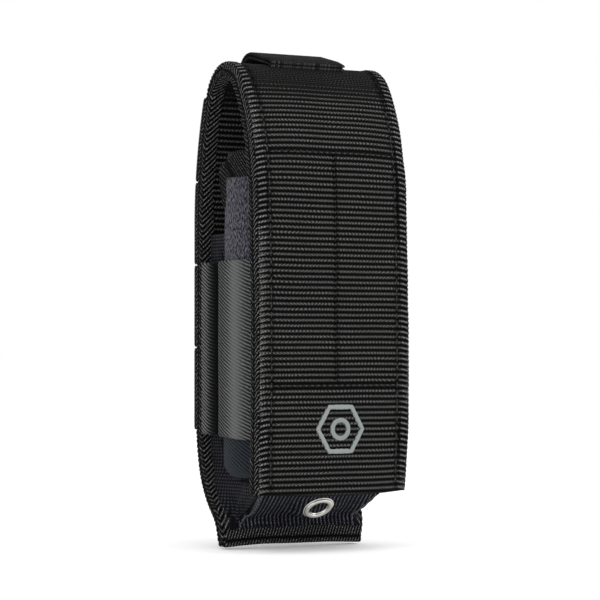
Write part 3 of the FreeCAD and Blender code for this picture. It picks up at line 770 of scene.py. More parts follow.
hookPanel()


def stitchesAt(centres, directions, outs, length, radius):
    # One short rounded stitch repeated: an ellipsoid-ended bead drawn once and copied to every centre.
    a = np.linspace(-1, 1, 9)
    b = np.linspace(0, 2 * np.pi, 9)[:-1]
    thick = radius * np.sqrt(np.clip(1 - a ** 4, 0.0, 1))
    side = np.cross(directions, outs)
    return (
        centres[:, None, None, :]
        + directions[:, None, None, :] * (a * length / 2)[None, :, None, None]
        + side[:, None, None, :] * (thick[:, None] * np.cos(b)[None, :])[None, :, :, None]
        + outs[:, None, None, :] * (thick[:, None] * np.sin(b)[None, :])[None, :, :, None]
    )


def threadPiece(name, rings, finish, body):
    # Joins every bead's rings into one mesh; the end rings have shrunk to a point and are merged.
    count, rows, cols = rings.shape[:3]
    index = np.arange(count * rows * cols).reshape(count, rows, cols)
    a, b = index[:, :-1], np.roll(index, -1, 2)[:, :-1]
    c, d = np.roll(index, -1, 2)[:, 1:], index[:, 1:]
    quads = np.stack([a, b, c, d], -1).reshape(-1, 4)
    points = rings.reshape(-1, 3)
    strand = 0.55 + 0.45 * np.cos(np.arange(rows) * 1.6)[None, :, None] * np.ones((count, 1, cols))
    attributes = {"u": points[:, 0] - points[:, 1], "v": points[:, 2], "ridge": strand.ravel()}
    piece = skin(name, points, quads, attributes, finish, body)
    work = bmesh.new()
    work.from_mesh(piece.data)
    bmesh.ops.remove_doubles(work, verts=work.verts, dist=1e-7)
    bmesh.ops.recalc_face_normals(work, faces=work.faces)
    work.to_mesh(piece.data)
    work.free()
    return piece


def flapSurface(x, s):
    # The flap's outer face at the stitches, pressed a little into the ribs.
    return onRoute(x, s, flapSwell(x, s, webbing["puff"]) + webbing["proud"] - 0.12)


def flapStitches():
    # Stitches across the flap in two rows, down its middle between them, and down both long edges.
    dashes = stitchRows["dashes"]
    reach = stitchRows["reach"]
    rowX = (np.arange(dashes) + 0.5) / dashes * 2 * reach - reach
    across = np.array([1.0, 0, 0])
    parts = []
    for word in ("upper", "lower"):
        s = np.full(dashes, heightToLength(stitchRows[word]))
        _, _, ny, nz = along(route, s)
        outs = np.stack([0 * s, ny, nz], -1)
        ways = np.tile(across, (dashes, 1))
        parts.append(stitchesAt(flapSurface(rowX, s), ways, outs, *stitchRows["acrossThread"]))
    middle = np.arange(
        heightToLength(stitchRows["upper"]) + 1.6, heightToLength(stitchRows["lower"]) - 1,
        webbing["ribPitch"],
    )
    edge = np.arange(foldTwo + 12, total - 2.0, edging["stitchPitch"])
    side = stitchRows["edgeSide"]
    for x0, t, size in ((0.0, middle, "downThread"), (-side, edge, "edgeThread"), (side, edge, "edgeThread")):
        x = np.full(len(t), x0)
        _, _, ny, nz = along(route, t)
        down = np.stack([0 * t, nz, -ny], -1)
        outs = np.stack([0 * t, ny, nz], -1)
        parts.append(stitchesAt(flapSurface(x, t), down, outs, *stitchRows[size]))
    piece = threadPiece("flapStitches", np.concatenate(parts), threadBlack, "flap")
    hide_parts("flap_stitching")


flapStitches()


# ---- embroidered mark: a plain hexagon round a ring, in satin stitch
mark = {
    "side": 1.5,
    "height": 36.0,
    "radius": 7.6,
    "ring": 2.7,
    "line": 1.5,
    "lift": 0.42,
    "threadPitch": 0.42,
}


def satinLoop(radiusAt, count):
    # A closed band of satin stitch: its middle line follows radiusAt(angle), threads lie across it, and
    # its section is a low dome.
    m = mark
    t = np.linspace(0, 2 * np.pi, count + 1)[:-1][:, None]
    w = np.linspace(-1, 1, 11)[None, :]
    length = t * m["radius"]
    threads = ribWave(length / m["threadPitch"] + 0.15 * w, 0.8)
    width = m["line"] / 2 * (1 + 0.06 * np.sin(t * 23) + 0.05 * np.sin(t * 51))
    r = radiusAt(t) + w * width
    x = m["side"] + r * np.sin(t)
    up = m["height"] + r * np.cos(t)
    dome = m["lift"] * np.sqrt(np.clip(1 - w ** 4, 0, 1)) + 0.10 * threads * (1 - w ** 2)
    s = heightToLength(up)
    x = x + 0 * s
    base = flapSurface(x, s)
    _, _, ny, nz = along(route, s)
    outs = np.stack([0 * s, ny, nz], -1)
    outer = base + outs * dome[..., None]
    inner = base - outs * 0.05
    return outer, inner, length + 0 * w, w * width, threads


def hexRadius(t):
    # Distance to a hexagon's side: the inradius over the cosine of the angle from that side's middle.
    m = mark
    fold = np.mod(t + np.pi / 6, np.pi / 3) - np.pi / 6
    return m["radius"] * math.cos(math.pi / 6) / np.cos(fold)


def embroideredMark():
    # The hexagon stands for the CAD mark, and the ring inside it is one more piece.
    shapes = (("markHexagon", hexRadius, 420), ("markRing", lambda t: mark["ring"] + 0 * t, 200))
    for name, radiusAt, count in shapes:
        outer, inner, u, v, threads = satinLoop(radiusAt, count)
        piece = slab(name, outer, inner, threadGrey, "flap", u=u, v=v, ridge=0.35 + 0.65 * threads, ring=True)
    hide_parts("embroidered_mark")


embroideredMark()
print("flap details made")


# ---- pocket under the flap
pocket = {
    "half": halfWidth - 2.1,
    "front": backFace - low("pocket_front")[1],
    "corner": 13.0,
    "sideStart": 17.0,
    "bottom": 21.0,
    "top": 119.0,
    "loopTop": 111.5,
    "nylon": 0.9,
    "pad": 2.0,
    "lining": 0.7,
    "loop": 1.0,
    "elastic": 1.1,
    "roundBottom": 5.0,     # the panel turns under at its lower edge with this radius
}


pocketCloth = {
    "tuck": 0.9,            # share of a quarter turn that the foot curls under
    "waver": 0.35,
    "belly": 0.5,
    "bellyHeight": 30,
    "bellyReach": 9,
    "smoothBelow": 39,
}


def pocketRoute(rearDepth):
    # The pocket's outline from above, from its left side round the front to its right side.
    p = pocket
    lead = p["front"] - p["corner"] - rearDepth
    return walk(
        (-p["half"], backFace - rearDepth),
        270,
        [(lead, 0), (p["corner"], 90), (2 * (p["half"] - p["corner"]), 0), (p["corner"], 90), (lead, 0)],
    )


frontRoute = pocketRoute(pocket["sideStart"])
frontLength = lengthOf(frontRoute)


def onPocket(legs, q, h, z):
    x, y, nx, ny = along(legs, q)
    return np.stack(np.broadcast_arrays(x + nx * h, y + ny * h, z), -1)


def tuckUnder(z, bottom):
    # Height and inward shift of a wall whose last few millimetres curl inwards under it.
    r = pocket["roundBottom"]
    below = np.clip((bottom + r - z) / r, 0, 1)
    angle = below * math.pi / 2 * pocketCloth["tuck"]
    return np.where(below > 0, bottom + r - r * np.sin(angle), z), r * (1 - np.cos(angle))


def pocketWall(name, depth, thick, bottom, top, finish, node, rows=70, cols=120):
    # One layer of the pocket: a wall along its outline that swells a little and turns under at its foot.
    c = pocketCloth
    q = np.linspace(0, frontLength, cols)[None, :] * np.ones((rows, 1))
    zz = np.linspace(footHeight + bottom, footHeight + top, rows)[:, None] * np.ones((1, cols))
    z, shift = tuckUnder(zz, footHeight + pocket["bottom"])
    full = c["waver"] * wander(zz + q * 0.6, 9.0, 21)
    full = full + c["belly"] * bump(zz, footHeight + c["bellyHeight"], c["bellyReach"])
    outerH = -depth - shift + full * 0.6
    innerH = -depth - thick - shift + full * 0.6
    pressed = np.clip((footHeight + c["smoothBelow"] - zz) / 3, 0, 1)    # pressed smooth below the elastic
    outer = onPocket(frontRoute, q, outerH, z)
    inner = onPocket(frontRoute, q, innerH, z)
    wall = slab(name, outer, inner, finish, "root", u=q, v=zz, ridge=pressed)
    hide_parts(node)
    return wall


frontPanel = pocketWall(
    "pocketFront", 0.0, pocket["nylon"], pocket["bottom"], pocket["top"], nylonFinish,
    "pocket_front",
)
lining = pocketWall(
    "pocketLining", pocket["nylon"] + pocket["pad"], pocket["lining"], pocket["bottom"], pocket["top"],
    innerNylonFinish, "pocket_lining", rows=60, cols=80,
)
pad = pocketWall(
    "pocketPad", pocket["nylon"], pocket["pad"], pocket["bottom"] + 0.5, pocket["top"] - 0.5, foamFinish,
    "pocket_pad", rows=60, cols=80,
)
loop = pocketWall(
    "loopPanel", -pocket["loop"], pocket["loop"], pocket["bottom"], pocket["loopTop"], loopFinish,
    "loop_panel",
)


topBinding = {
    "outerLeaf": 8.5,
    "innerLeaf": 7.0,
    "thick": 0.6,
    "corner": 1.1,
    "ribPitch": 0.95,
    "endDrop": 4.6,         # how far its two ends turn down
}


def topTape():
    # Tape folded over the pocket's upper edge: outer leaf, fold and inner leaf; its ends turn down and
    # stand out as points behind the two corners.
    p, b = pocket, topBinding
    leaf = b["outerLeaf"]
    wall = p["nylon"] + p["pad"] + p["lining"]
    w, across, out, nw, nh = cornered(
        [leaf, wall + 2 * b["thick"], b["innerLeaf"]], [-90, -90], b["corner"], 60,
    )
    legs = pocketRoute(p["sideStart"] - 3.0)
    length = lengthOf(legs)
    q = np.linspace(0, length, 240)[:, None] * np.ones((1, len(w)))
    toEnd = np.minimum(q, length - q)
    longer = 1 + 0.75 * bump(toEnd, 3.6, 2.6) - 0.6 * np.clip(1 - toEnd / 1.6, 0, 1)
    top = footHeight + p["top"] + b["thick"] - b["endDrop"] * np.clip(1 - toEnd / 8, 0, 1) ** 1.4
    reach = (leaf - across)[None, :]
    z = top - reach * longer
    h = b["thick"] + out[None, :] + 0 * q
    ribs = ribWave((q + 0.75 * (z - top)) / b["ribPitch"])
    # A slanted crease near each end, which dips the tape a little and is painted dark as shade in the crease.
    fold = bump(toEnd - 0.55 * (top - z), 3.0, 0.5)
    ridge = ribs * (1 - 0.85 * fold)
    lift = 0.16 * (ridge - 0.5) + 0.8 * np.clip(1 - toEnd / 7, 0, 1) * (w[None, :] < leaf)
    outer = onPocket(legs, q, h + nh[None, :] * lift, z + nw[None, :] * lift)
    inner = onPocket(legs, q, h - nh[None, :] * b["thick"], z - nw[None, :] * b["thick"])
    u = w[None, :] + 0 * q
    tape = slab("pocketTopTape", outer, inner, tapeFinish, "root", u=u, v=q, ridge=ridge * 0.9)
    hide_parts("pocket_binding")


topTape()

valley = {
    "depth": 11.3,
    "width": 1.9,
    "deep": 4.8,
    "bottom": 20,
    "top": 92,
    "wearDepth": 24.3,      # the ridge in front of the fold, worn smooth and painted lighter as a highlight
    "wearWidth": 3.2,
}
band = {"rear": 3.6, "frontGap": 14.0, "bottom": 34.0, "top": 86.5, "drop": 1.6, "rows": 90, "cols": 140}


def sideFold(d, z):
    # How far the pocket's side is pushed in by the fold of its elastic, at depth d in front of the back.
    v = valley
    reach = np.clip((z - footHeight - v["bottom"]) / 14, 0, 1)
    reach = reach * np.clip((footHeight + v["top"] - z) / 10, 0, 1)
    return v["deep"] * bump(d, v["depth"], v["width"]) * reach


def elasticBand(word, side):
    # Elastic from the back's edge tape, down into a fold, out over a ridge worn smooth and round the corner;
    # the ridge is painted lighter as a highlight and the fold darker as shade.
    p, b = pocket, band
    legs = pocketRoute(b["rear"])
    toCorner = p["front"] - p["corner"] - b["rear"]
    end = toCorner + p["corner"] * math.pi / 2 + (p["half"] - p["corner"]) - b["frontGap"]
    q = np.linspace(0, end, b["cols"])[None, :] * np.ones((b["rows"], 1))
    t = np.linspace(0, 1, b["rows"])[:, None] * np.ones((1, b["cols"]))
    bottom = footHeight + b["bottom"] - b["drop"] * np.clip(q / end, 0, 1) + 0.5 * wander(q, 4.0, 31)
    top = footHeight + b["top"] + 0.5 * wander(q, 5.0, 33)
    z = bottom + (top - bottom) * t
    d = q + b["rear"]
    onSide = np.clip((p["sideStart"] + 8 - d) / 8, 0, 1)
    fold = sideFold(d, z) * onSide
    ridgeShape = 0.9 * bump(d, valley["wearDepth"], valley["wearWidth"])
    waver = 0.06 * wander(z * 0.9 + q * 0.2, 8.0, 35)
    h = p["loop"] + p["elastic"] + 0.1 - fold + waver + ridgeShape * 0.6
    rim = np.minimum(z - bottom, top - z)
    drop = roundOff(rim, 0.5)
    outer = onPocket(legs, q, h - drop, z)
    inner = onPocket(legs, q, h - p["elastic"] + 0 * drop, z)
    # The ridge attribute: positive on the ridge, worn smooth with a painted highlight; negative in and beside
    # the fold, a painted shade.
    wornHighlightAndFoldShade = 0.75 * bump(d, valley["wearDepth"] - 0.4, valley["wearWidth"] * 0.75)
    wornHighlightAndFoldShade = wornHighlightAndFoldShade - 1.0 * bump(d, valley["depth"] - 1.5, 2.1) - 0.45 * bump(d, valley["depth"] + 5.5, 3.6)
    for grid in (outer, inner):
        grid[..., 0] *= -side
    elastic = slab("elasticBand_" + word, outer, inner, elasticFinish, "root", u=q, v=z, ridge=wornHighlightAndFoldShade)
    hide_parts("elastic_band_" + word)


# ---- sloping front, side walls and the bottom seam
slope = {
    "halfWidth": pocket["half"] - 0.9,
    "thick": 0.9,
    "gather": 1.35,         # pitch of the fine upright folds
    "gatherSlant": 0.22,
    "sag": 1.1,
    "eyeletReach": 5.0,     # the cloth is flat within this distance of the eyelet's centre
    "lowRadius": 3.0,
    "highRadius": 6.0,
    "run": 13.4,
    "seamRear": 14.1,
    "leftPull": 4.6,
    "rightPull": 2.2,
    "cornerPull": 5.5,
    "meetIn": 4.0,          # its top edge turns in to the pocket's rounded bottom
    "eyeletTilt": 0.26,     # the cloth round the eyelet stands this much more upright
}
slopeShift = pocket["front"] - slope["seamRear"] - pocket["nylon"]
slopeRadii = slope["lowRadius"] + slope["highRadius"]
slopeAngle = math.acos((slopeRadii - slopeShift) / math.hypot(slopeRadii, slope["run"]))
slopeAngle -= math.atan2(slope["run"], slopeRadii)
slopeRise = slopeRadii * math.sin(slopeAngle) + slope["run"] * math.cos(slopeAngle)
slopeStart = pocket["bottom"] - slopeRise
slopeMoves = [
    (slopeStart - soleThick, 0),
    (slope["lowRadius"], math.degrees(slopeAngle)),
    (slope["run"], 0),
    (slope["highRadius"], -math.degrees(slopeAngle)),
]
slopeFoot = (backFace - slope["seamRear"] - pocket["nylon"], footHeight + soleThick)
slopeRoute = walk(slopeFoot, 90, slopeMoves)
slopeLength = lengthOf(slopeRoute)
slopeMiddle = slopeStart - soleThick + slope["lowRadius"] * slopeAngle + slope["run"] / 2
eyeletSide = (low("eyelet")[0] + high("eyelet")[0]) / 2


def edgePull(s, side):
    # How far the slope's side seam is drawn in towards the middle: a sine of the height, and a rounded
    # corner at the top.
    share = np.clip(s / slopeLength, 0, 1)
    rounded = slope["cornerPull"] * np.clip((share - 0.72) / 0.28, 0, 1) ** 2
    return (slope["leftPull"] if side < 0 else slope["rightPull"]) * np.sin(np.pi * share ** 0.8) + rounded


def topLean(s):
    # How far the slope's last stretch turns in: the square of its share above 84 percent of the length.
    return slope["meetIn"] * np.clip((s / slopeLength - 0.84) / 0.16, 0, 1) ** 2


def onSlope(a, s, lift=0.0):
    # A point of the slope at share a across it, from -1 to 1, and s up it; also its x.
    half, reach = slope["halfWidth"], slope["eyeletReach"]
    left = half - edgePull(s, -1)
    right = half - edgePull(s, 1)
    x = np.where(a < 0, a * left, a * right)
    y, z, ny, nz = along(slopeRoute, s)
    y = y + topLean(s)
    free = np.sin(np.pi * np.clip(s / slopeLength, 0, 1))
    fromEyelet = np.hypot(x - eyeletSide, s - slopeMiddle)
    clear = np.clip((fromEyelet - 5.6) / 4, 0, 1)
    gathers = 0.10 * np.cos(2 * np.pi * (x + slope["gatherSlant"] * s) / slope["gather"])
    gathers = gathers + 0.35 * wander(x + 0.25 * s, 2.6, 41)
    sag = slope["sag"] * a ** 2 * free
    pillow = np.exp(-(np.clip(fromEyelet - reach, 0, None) / 3.5) ** 2)
    upright = slope["eyeletTilt"] * np.clip(reach - s + slopeMiddle, 0, 9) * pillow * free ** 0.5
    h = (gathers + sag) * clear * free + upright + lift
    return np.stack(np.broadcast_arrays(x, y - ny * h, z - nz * h), -1), x


def slopingFront():
    # The nylon rises from the seam, leans forward and meets the pocket; it sags a little between its
    # sides, and gathers in fine upright folds that die out towards the eyelet.
    rows, cols = 90, 220
    s = np.linspace(0, slopeLength, rows)[:, None] * np.ones((1, cols))
    a = np.linspace(-1, 1, cols)[None, :] * np.ones((rows, 1))
    outer, x = onSlope(a, s)
    inner = onSlope(a, s, -slope["thick"])[0]
    u = x + slope["gatherSlant"] * s
    # The folds are painted too: the same wave makes the colour dark and light across each fold, a painted shade
    # and highlight.
    ridge = 0.5 + 0.5 * np.cos(2 * np.pi * u / slope["gather"])
    front = slab("slopingFront", outer, inner, slopeFinish, "root", u=u, v=s, ridge=ridge)
    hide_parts("sloping_front")


slopeThread = {"side": 0.955, "pitch": 0.9, "size": (1.15, 0.17)}


def slopeStitches():
    # Short light stitches along both side seams of the slope, leaning to and fro.
    s = np.arange(1.2, slopeLength - 2.0, slopeThread["pitch"])
    parts = []
    for side in (-1, 1):
        points = onSlope(np.full(len(s), side * slopeThread["side"]), s, 0.12)[0]
        _, _, ny, nz = along(slopeRoute, s)
        tilt = np.where(np.arange(len(s)) % 2, 0.9, -0.9)
        way = np.stack([tilt, nz, -ny], -1)
        way /= np.linalg.norm(way, axis=1)[:, None]
        outs = np.stack([0 * s, -ny, -nz], -1)
        parts.append(stitchesAt(points, way, outs, *slopeThread["size"]))
    piece = threadPiece("slopeStitches", np.concatenate(parts), threadPale, "root")


slopeLook = dict(ribbed, valley=(0.003, 0.003, 0.005), ridge=(0.125, 0.129, 0.158), threadPitch=0.7)
slopeFinish = ribbedFinish("slopeNylon", slopeLook)
slopingFront()
slopeStitches()


def backLineAt(z):
    # Depth of the back's outer line at height z, by following the webbing's route upwards.
    s = np.linspace(0, foldOne, 800)
    y, heights, _, _ = along(route, s)
    return np.interp(z, heights, y)


def frontLineAt(z):
    # Depth of the pocket's front edge or of the slope's inner face at height z.
    s = np.linspace(0, slopeLength, 400)
    y, heights, _, _ = along(slopeRoute, s)
    return np.interp(z, heights, y + topLean(s))


def slopeLengthAt(z):
    # Distance up the slope at height z.
    s = np.linspace(0, slopeLength, 400)
    return np.interp(z, along(slopeRoute, s)[1], s)


sideCloth = {
    "height": 94.0,
    "thick": 0.9,
    "rearGap": 3.4,
    "slack": 3.0,
    "crease": 1.6,          # how deep the slack's slanted fold is
    "rows": 170,
    "cols": 90,
}


def sideWall(word, side):
    # Ballistic nylon between the back and the pocket's front: a ruled surface between the back's inner
    # face and the front line, pushed in by the elastic's fold and slack below it.
    c = sideCloth
    rows, cols = c["rows"], c["cols"]
    t = np.linspace(0, 1, rows)[:, None] * np.ones((1, cols))
    w = np.linspace(0, 1, cols)[None, :] * np.ones((rows, 1))
    z = footHeight + 1.0 + t * c["height"]
    rear = backLineAt(z) - c["rearGap"]
    upper = footHeight + pocket["bottom"]
    front = np.where(z < upper, frontLineAt(z) + 0.2, backFace - pocket["sideStart"])
    turn = np.clip((z - upper) / 7, 0, 1)
    turn = turn * turn * (3 - 2 * turn)
    turned = (backFace - pocket["front"] + c["thick"] + slope["meetIn"]) * (1 - turn)
    turned = turned + (backFace - pocket["sideStart"] + 0.1) * turn
    front = np.where(z < upper, front, turned)
    y = rear + (front - rear) * w
    d = backFace - y
    lower = np.clip((footHeight + 36 - z) / 16, 0, 1)
    slack = c["slack"] * lower * np.sin(np.pi * w) ** 1.2 * np.clip((z - footHeight) / 10, 0, 1)
    crease = bump(w, 0.62 + 0.012 * (z - footHeight - 12), 0.13)
    slack = slack - c["crease"] * lower * crease * np.clip((z - footHeight) / 8, 0, 1)
    folds = 0.5 * wander(w * 9 + z * 0.35, 1.6, 51) * lower * np.sin(np.pi * w)
    folds = folds + edgePull(slopeLengthAt(z), side) * w ** 2 * (z < upper)
    inX = slack + folds + sideFold(d, z) * np.clip((pocket["sideStart"] - d) / 5, 0, 1)
    # Ahead of the side's flat part the wall tucks inside the rounded corner of the pocket.
    ahead = np.clip(d - pocket["sideStart"], 0, None)
    radius = pocket["corner"]
    roundedIn = radius - np.sqrt(np.clip(radius ** 2 - np.clip(ahead, 0, radius) ** 2, 0, None))
    under = np.clip((upper + pocket["roundBottom"] - z) / pocket["roundBottom"], 0, 0.988)
    tuck = pocket["roundBottom"] * (1 - np.sqrt(1 - under ** 2)) * np.clip(ahead / 2, 0, 1)
    entering = np.clip((z - upper + 1.5) / 3, 0, 1)
    inX = inX + np.where(z > upper - 1.5, entering * (roundedIn + 1.0 + tuck), 0)
    outerX = -(pocket["half"] - 0.05) + inX
    outer = np.stack([outerX, y, z], -1)
    inner = np.stack([outerX + c["thick"], y, z], -1)
    for grid in (outer, inner):
        grid[..., 0] *= -side
    wall = slab("sideWall_" + word, outer, inner, nylonFinish, "root", u=y + 0 * z, v=z)
    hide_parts("side_wall_" + word)


for word, side in (("left", -1), ("right", 1)):
    sideWall(word, side)
    elasticBand(word, side)


sole = {"rearLeaf": 4.7, "drawnIn": 2.3, "corner": 0.7, "waver": 0.3, "sag": 0.5, "rearStep": 0.65}


def seamTape():
    # Tape folded under the bottom seam, front leaf, sole and rear leaf, with slanted ribs.
    front = backFace - slope["seamRear"] - pocket["nylon"]
    rear = backFace - webbing["seamDepth"]
    frontLeaf, rearLeaf = slopeStart - 1.9, sole["rearLeaf"]
    deep = rear - front + 2 * soleThick
    w, across, out, nw, nh = cornered([frontLeaf, deep, rearLeaf], [90, 90], sole["corner"], 50)
    half = halfWidth - sole["drawnIn"]
    x = np.linspace(-half, half, 260)[:, None] * np.ones((1, len(w)))
    waver = sole["waver"] * wander(x, 7.0, 61) + sole["sag"] * (1 - (x / half) ** 2)
    past = np.clip((w[None, :] - frontLeaf - deep / 2) / 1.5, 0, 1)
    over = sole["rearStep"] * np.clip((np.abs(x) - halfWidth + 5.5) / 1.5, 0, 1) * past
    z = footHeight + frontLeaf - across[None, :] + waver
    y = front - soleThick + out[None, :] + over
    ridge = ribWave((x + 0.35 * w[None, :]) / 1.0) * (1 - 0.8 * bump(w[None, :], 3.3, 0.35))
    rim = half - np.abs(x)
    lift = 0.14 * (ridge - 0.6) - roundOff(rim, 0.5)
    outY = nh[None, :]
    outer = np.stack(np.broadcast_arrays(x, y + outY * lift, z - nw[None, :] * lift), -1)
    inner = np.stack(np.broadcast_arrays(x, y - outY * soleThick, z + nw[None, :] * soleThick), -1)
    tape = slab("seamTape", outer, inner, tapeFinish, "root", u=w[None, :] + 0 * x, v=x, ridge=ridge)
    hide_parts("seam_binding")


seamTape()
print("pocket made")


# ---- one-inch webbing rows, their tacks and the loop on the crown
rows = {
    "count": 4,
    "height": 25.0,
    "pitch": 25.4,
    "bottom": 35.2,
    "thick": 1.4,
    "tape": 0.6,
    "tackIn": 3.7,          # the tacks' distance from the rows' ends
    "tackPitch": 0.55,
    "tackThread": (1.7, 0.26),
    "stepsUp": 34,
    "stepsAcross": 240,
}


def lengthAtHeight(z):
    s = np.linspace(0, foldOne, 2000)
    _, heights, _, _ = along(route, s)
    return np.interp(z, heights, s)


def webbingRow(number):
    # One row across the back: ribs run up and down, the long edges are thicker selvedges.
    bottom = footHeight + rows["bottom"] + (number - 1) * rows["pitch"]
    up, cols = rows["stepsUp"], rows["stepsAcross"]
    z = np.linspace(bottom, bottom + rows["height"], up)[:, None] * np.ones((1, cols))
    x = np.linspace(-halfWidth, halfWidth, cols)[None, :] * np.ones((up, 1))
    s = lengthAtHeight(z)
    rim = np.minimum(z - bottom, bottom + rows["height"] - z)
    ends = halfWidth - np.abs(x)
    ridge = ribWave(x / 1.0 + 0.12 * np.sin(z * 2.0)) * (1 - 0.5 * bump(rim, 1.3, 0.4))
    lift = 0.12 * (ridge - 0.6) - roundOff(rim, 0.5) - roundOff(ends, 0.5) - 0.35 * bump(ends, 3.6, 0.9)
    base = rows["tape"] + rows["thick"]
    outer = onRoute(x, s, base + lift)
    inner = onRoute(x, s, rows["tape"] + 0 * x)
    row = slab("webbingRow_%d" % number, outer, inner, strapFinish, "root", u=z, v=x, ridge=ridge)
    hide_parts("webbing_row_%d" % number)


for number in range(1, rows["count"] + 1):
    webbingRow(number)


def rowTacks():
    # Dense zigzag bars near both ends of every row.
    parts = []
    for number in range(rows["count"]):
        bottom = footHeight + rows["bottom"] + number * rows["pitch"] + 3.0
        z = np.arange(bottom + 0.3, bottom + rows["height"] - 6.0, rows["tackPitch"])
        s = lengthAtHeight(z)
        for side in (-1, 1):
            x = np.full(len(z), side * (halfWidth - rows["tackIn"]))
            _, _, ny, nz = along(route, s)
            outs = np.stack([0 * s, ny, nz], -1)
            tilt = np.where(np.arange(len(z)) % 2, 0.25, -0.25)
            way = np.stack([np.full(len(z), 0.97), -nz * tilt, ny * tilt], -1)
            way /= np.linalg.norm(way, axis=1)[:, None]
            parts.append(stitchesAt(onRoute(x, s, 1.85 + 0 * s), way, outs, *rows["tackThread"]))
    piece = threadPiece("rowTacks", np.concatenate(parts), threadBlack, "root")
    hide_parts("row_tacks")


rowTacks()


strapCloth = {
    "belt": {"rowStep": 0.9, "cols": 120, "rim": 0.5, "settle": 0.0},
    "loop": {"rowStep": 0.25, "cols": 40, "rim": 0.25, "settle": 0.55},     # its front end is pressed down
}


def flatStrap(name, legs, start, end, near, far, half, finish, body, node, pitch=1.0):
    # A straight-sided strap carried along a line in the middle plane, from offset near to offset far.
    cloth = strapCloth["loop" if body == "crown" else "belt"]
    rowsCount = int((end - start) / cloth["rowStep"]) + 2
    cols = cloth["cols"]
    s = np.linspace(start, end, rowsCount)[:, None] * np.ones((1, cols))
    x = np.linspace(-half, half, cols)[None, :] * np.ones((rowsCount, 1))
    y, z, ny, nz = along(legs, s)
    ridge = ribWave(x / pitch + 0.1 * np.sin(s * 2.0)) * (1 - 0.5 * bump(half - np.abs(x), 1.4, 0.4))
    if body == "crown":
        ridge = 0.5 + 0.25 * np.cos(2 * np.pi * s / pitch) - 0.3 * bump(s, 2.6, 0.4)
    rim = np.minimum(np.minimum(s - start, end - s), half - np.abs(x))
    thick = abs(far - near)
    drop = roundOff(rim, min(cloth["rim"], thick * 0.45))
    way = 1 if far > near else -1
    settle = cloth["settle"] * np.clip(1 - s / 5, 0, 1) ** 2
    outerH = far + way * (0.1 * (ridge - 0.6) - drop - settle)
    innerH = near + way * (drop - settle)
    outer = np.stack([x, y + ny * outerH, z + nz * outerH], -1)
    inner = np.stack([x, y + ny * innerH, z + nz * innerH], -1)
    strap = slab(name, outer, inner, finish, body, u=s, v=x, ridge=ridge, innerRidge=ridge)
    if node:
        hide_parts(node)
    return strap


crownLoop = {
    "half": 12.7,
    "front": 24.0,
    "rise": 14.0,
    "run": 14.3,
    "radius": 4.5,
    "turn": 164.0,
    "foot": 0.9,
    "thick": 2.2,
    "lift": 0.5,
    "ribPitch": 1.1,
}
loopBase = crownHeight + crownLoop["lift"] + math.sqrt(
    webbing["crownRadius"] ** 2 - (crownLoop["front"] - webbing["crownDepth"]) ** 2
)
loopRoute = walk(
    (backFace - crownLoop["front"], loopBase + 0.5),
    crownLoop["rise"],
    [(crownLoop["run"], 0), (crownLoop["radius"], -crownLoop["turn"]), (crownLoop["foot"], 0)],
)
for name, near, far, node in (
    ("crownLoop", -1.15, -crownLoop["thick"], "crown_loop"),
    ("crownLoopLower", 0.0, -1.05, None),
):
    flatStrap(
        name, loopRoute, 0.0, lengthOf(loopRoute), near, far, crownLoop["half"], webbingFinish, "crown",
        node, crownLoop["ribPitch"],
    )

# ---- belt strap
strap = {
    "half": 12.7,
    "layer": 1.1,
    "core": 0.6,
    "coreHalf": 9.5,
    "top": 133.0,
    "sewn": 12.5,
    "tip": 18.0,
    "bend": 20.0,
    "lowBend": 14.0,
    "bendStart": 53.0,
    "beltSpace": 4.6,
    "snapStack": 3.4,
}
leanRadius = leanReach + webbing["crownRadius"]
straightTop = crownHeight - webbing["leanRise"]
strapTopTurn = math.asin((strap["top"] + footHeight - strap["sewn"] / 2 - straightTop) / leanRadius)
touchDepth = leanRadius * (1 - math.cos(strapTopTurn))
touchOffset = rows["tape"] + rows["thick"] + 0.3
aboveTouch = strap["top"] + footHeight - straightTop - leanRadius * math.sin(strapTopTurn)
strapStart = (
    backFace - touchDepth + touchOffset * math.cos(strapTopTurn) - aboveTouch * math.tan(strapTopTurn),
    footHeight + strap["top"] + touchOffset * math.sin(strapTopTurn),
)
strapLine = backFace + rows["tape"] + rows["thick"] + strap["beltSpace"]
topRun = (strapLine - strapStart[0] - strap["bend"] * (1 - math.cos(strapTopTurn))) / math.sin(strapTopTurn)
straightEnd = strapStart[1] - topRun * math.cos(strapTopTurn) - strap["bend"] * math.sin(strapTopTurn)
lowBend = math.radians(strap["lowBend"])
lowShift = strapLine - backFace - strap["snapStack"]
lowRun = (lowShift - 2 * strap["bend"] * (1 - math.cos(lowBend))) / math.sin(lowBend)
lowEnd = strap["bendStart"] - 2 * strap["bend"] * math.sin(lowBend) - lowRun * math.cos(lowBend)
strapRoute = walk(
    strapStart,
    270 + math.degrees(strapTopTurn),
    [
        (topRun, 0),
        (strap["bend"], -math.degrees(strapTopTurn)),
        (straightEnd - footHeight - strap["bendStart"], 0),
        (strap["bend"], -strap["lowBend"]),
        (lowRun, 0),
        (strap["bend"], strap["lowBend"]),
        (lowEnd - strap["tip"], 0),
    ],
)
strapEnd = lengthOf(strapRoute)
strapFull = 2 * strap["layer"] + strap["core"]
flatStrap(
    "strapSewnEnd", strapRoute, 0.0, strap["sewn"] - 0.1, 0.0, -strapFull, strap["half"], strapFinish, "root",
    "strap_sewn_end",
)
flatStrap(
    "strapInner", strapRoute, strap["sewn"], strapEnd, 0.0, -strap["layer"], strap["half"], strapFinish,
    "belt_strap", "strap_inner",
)
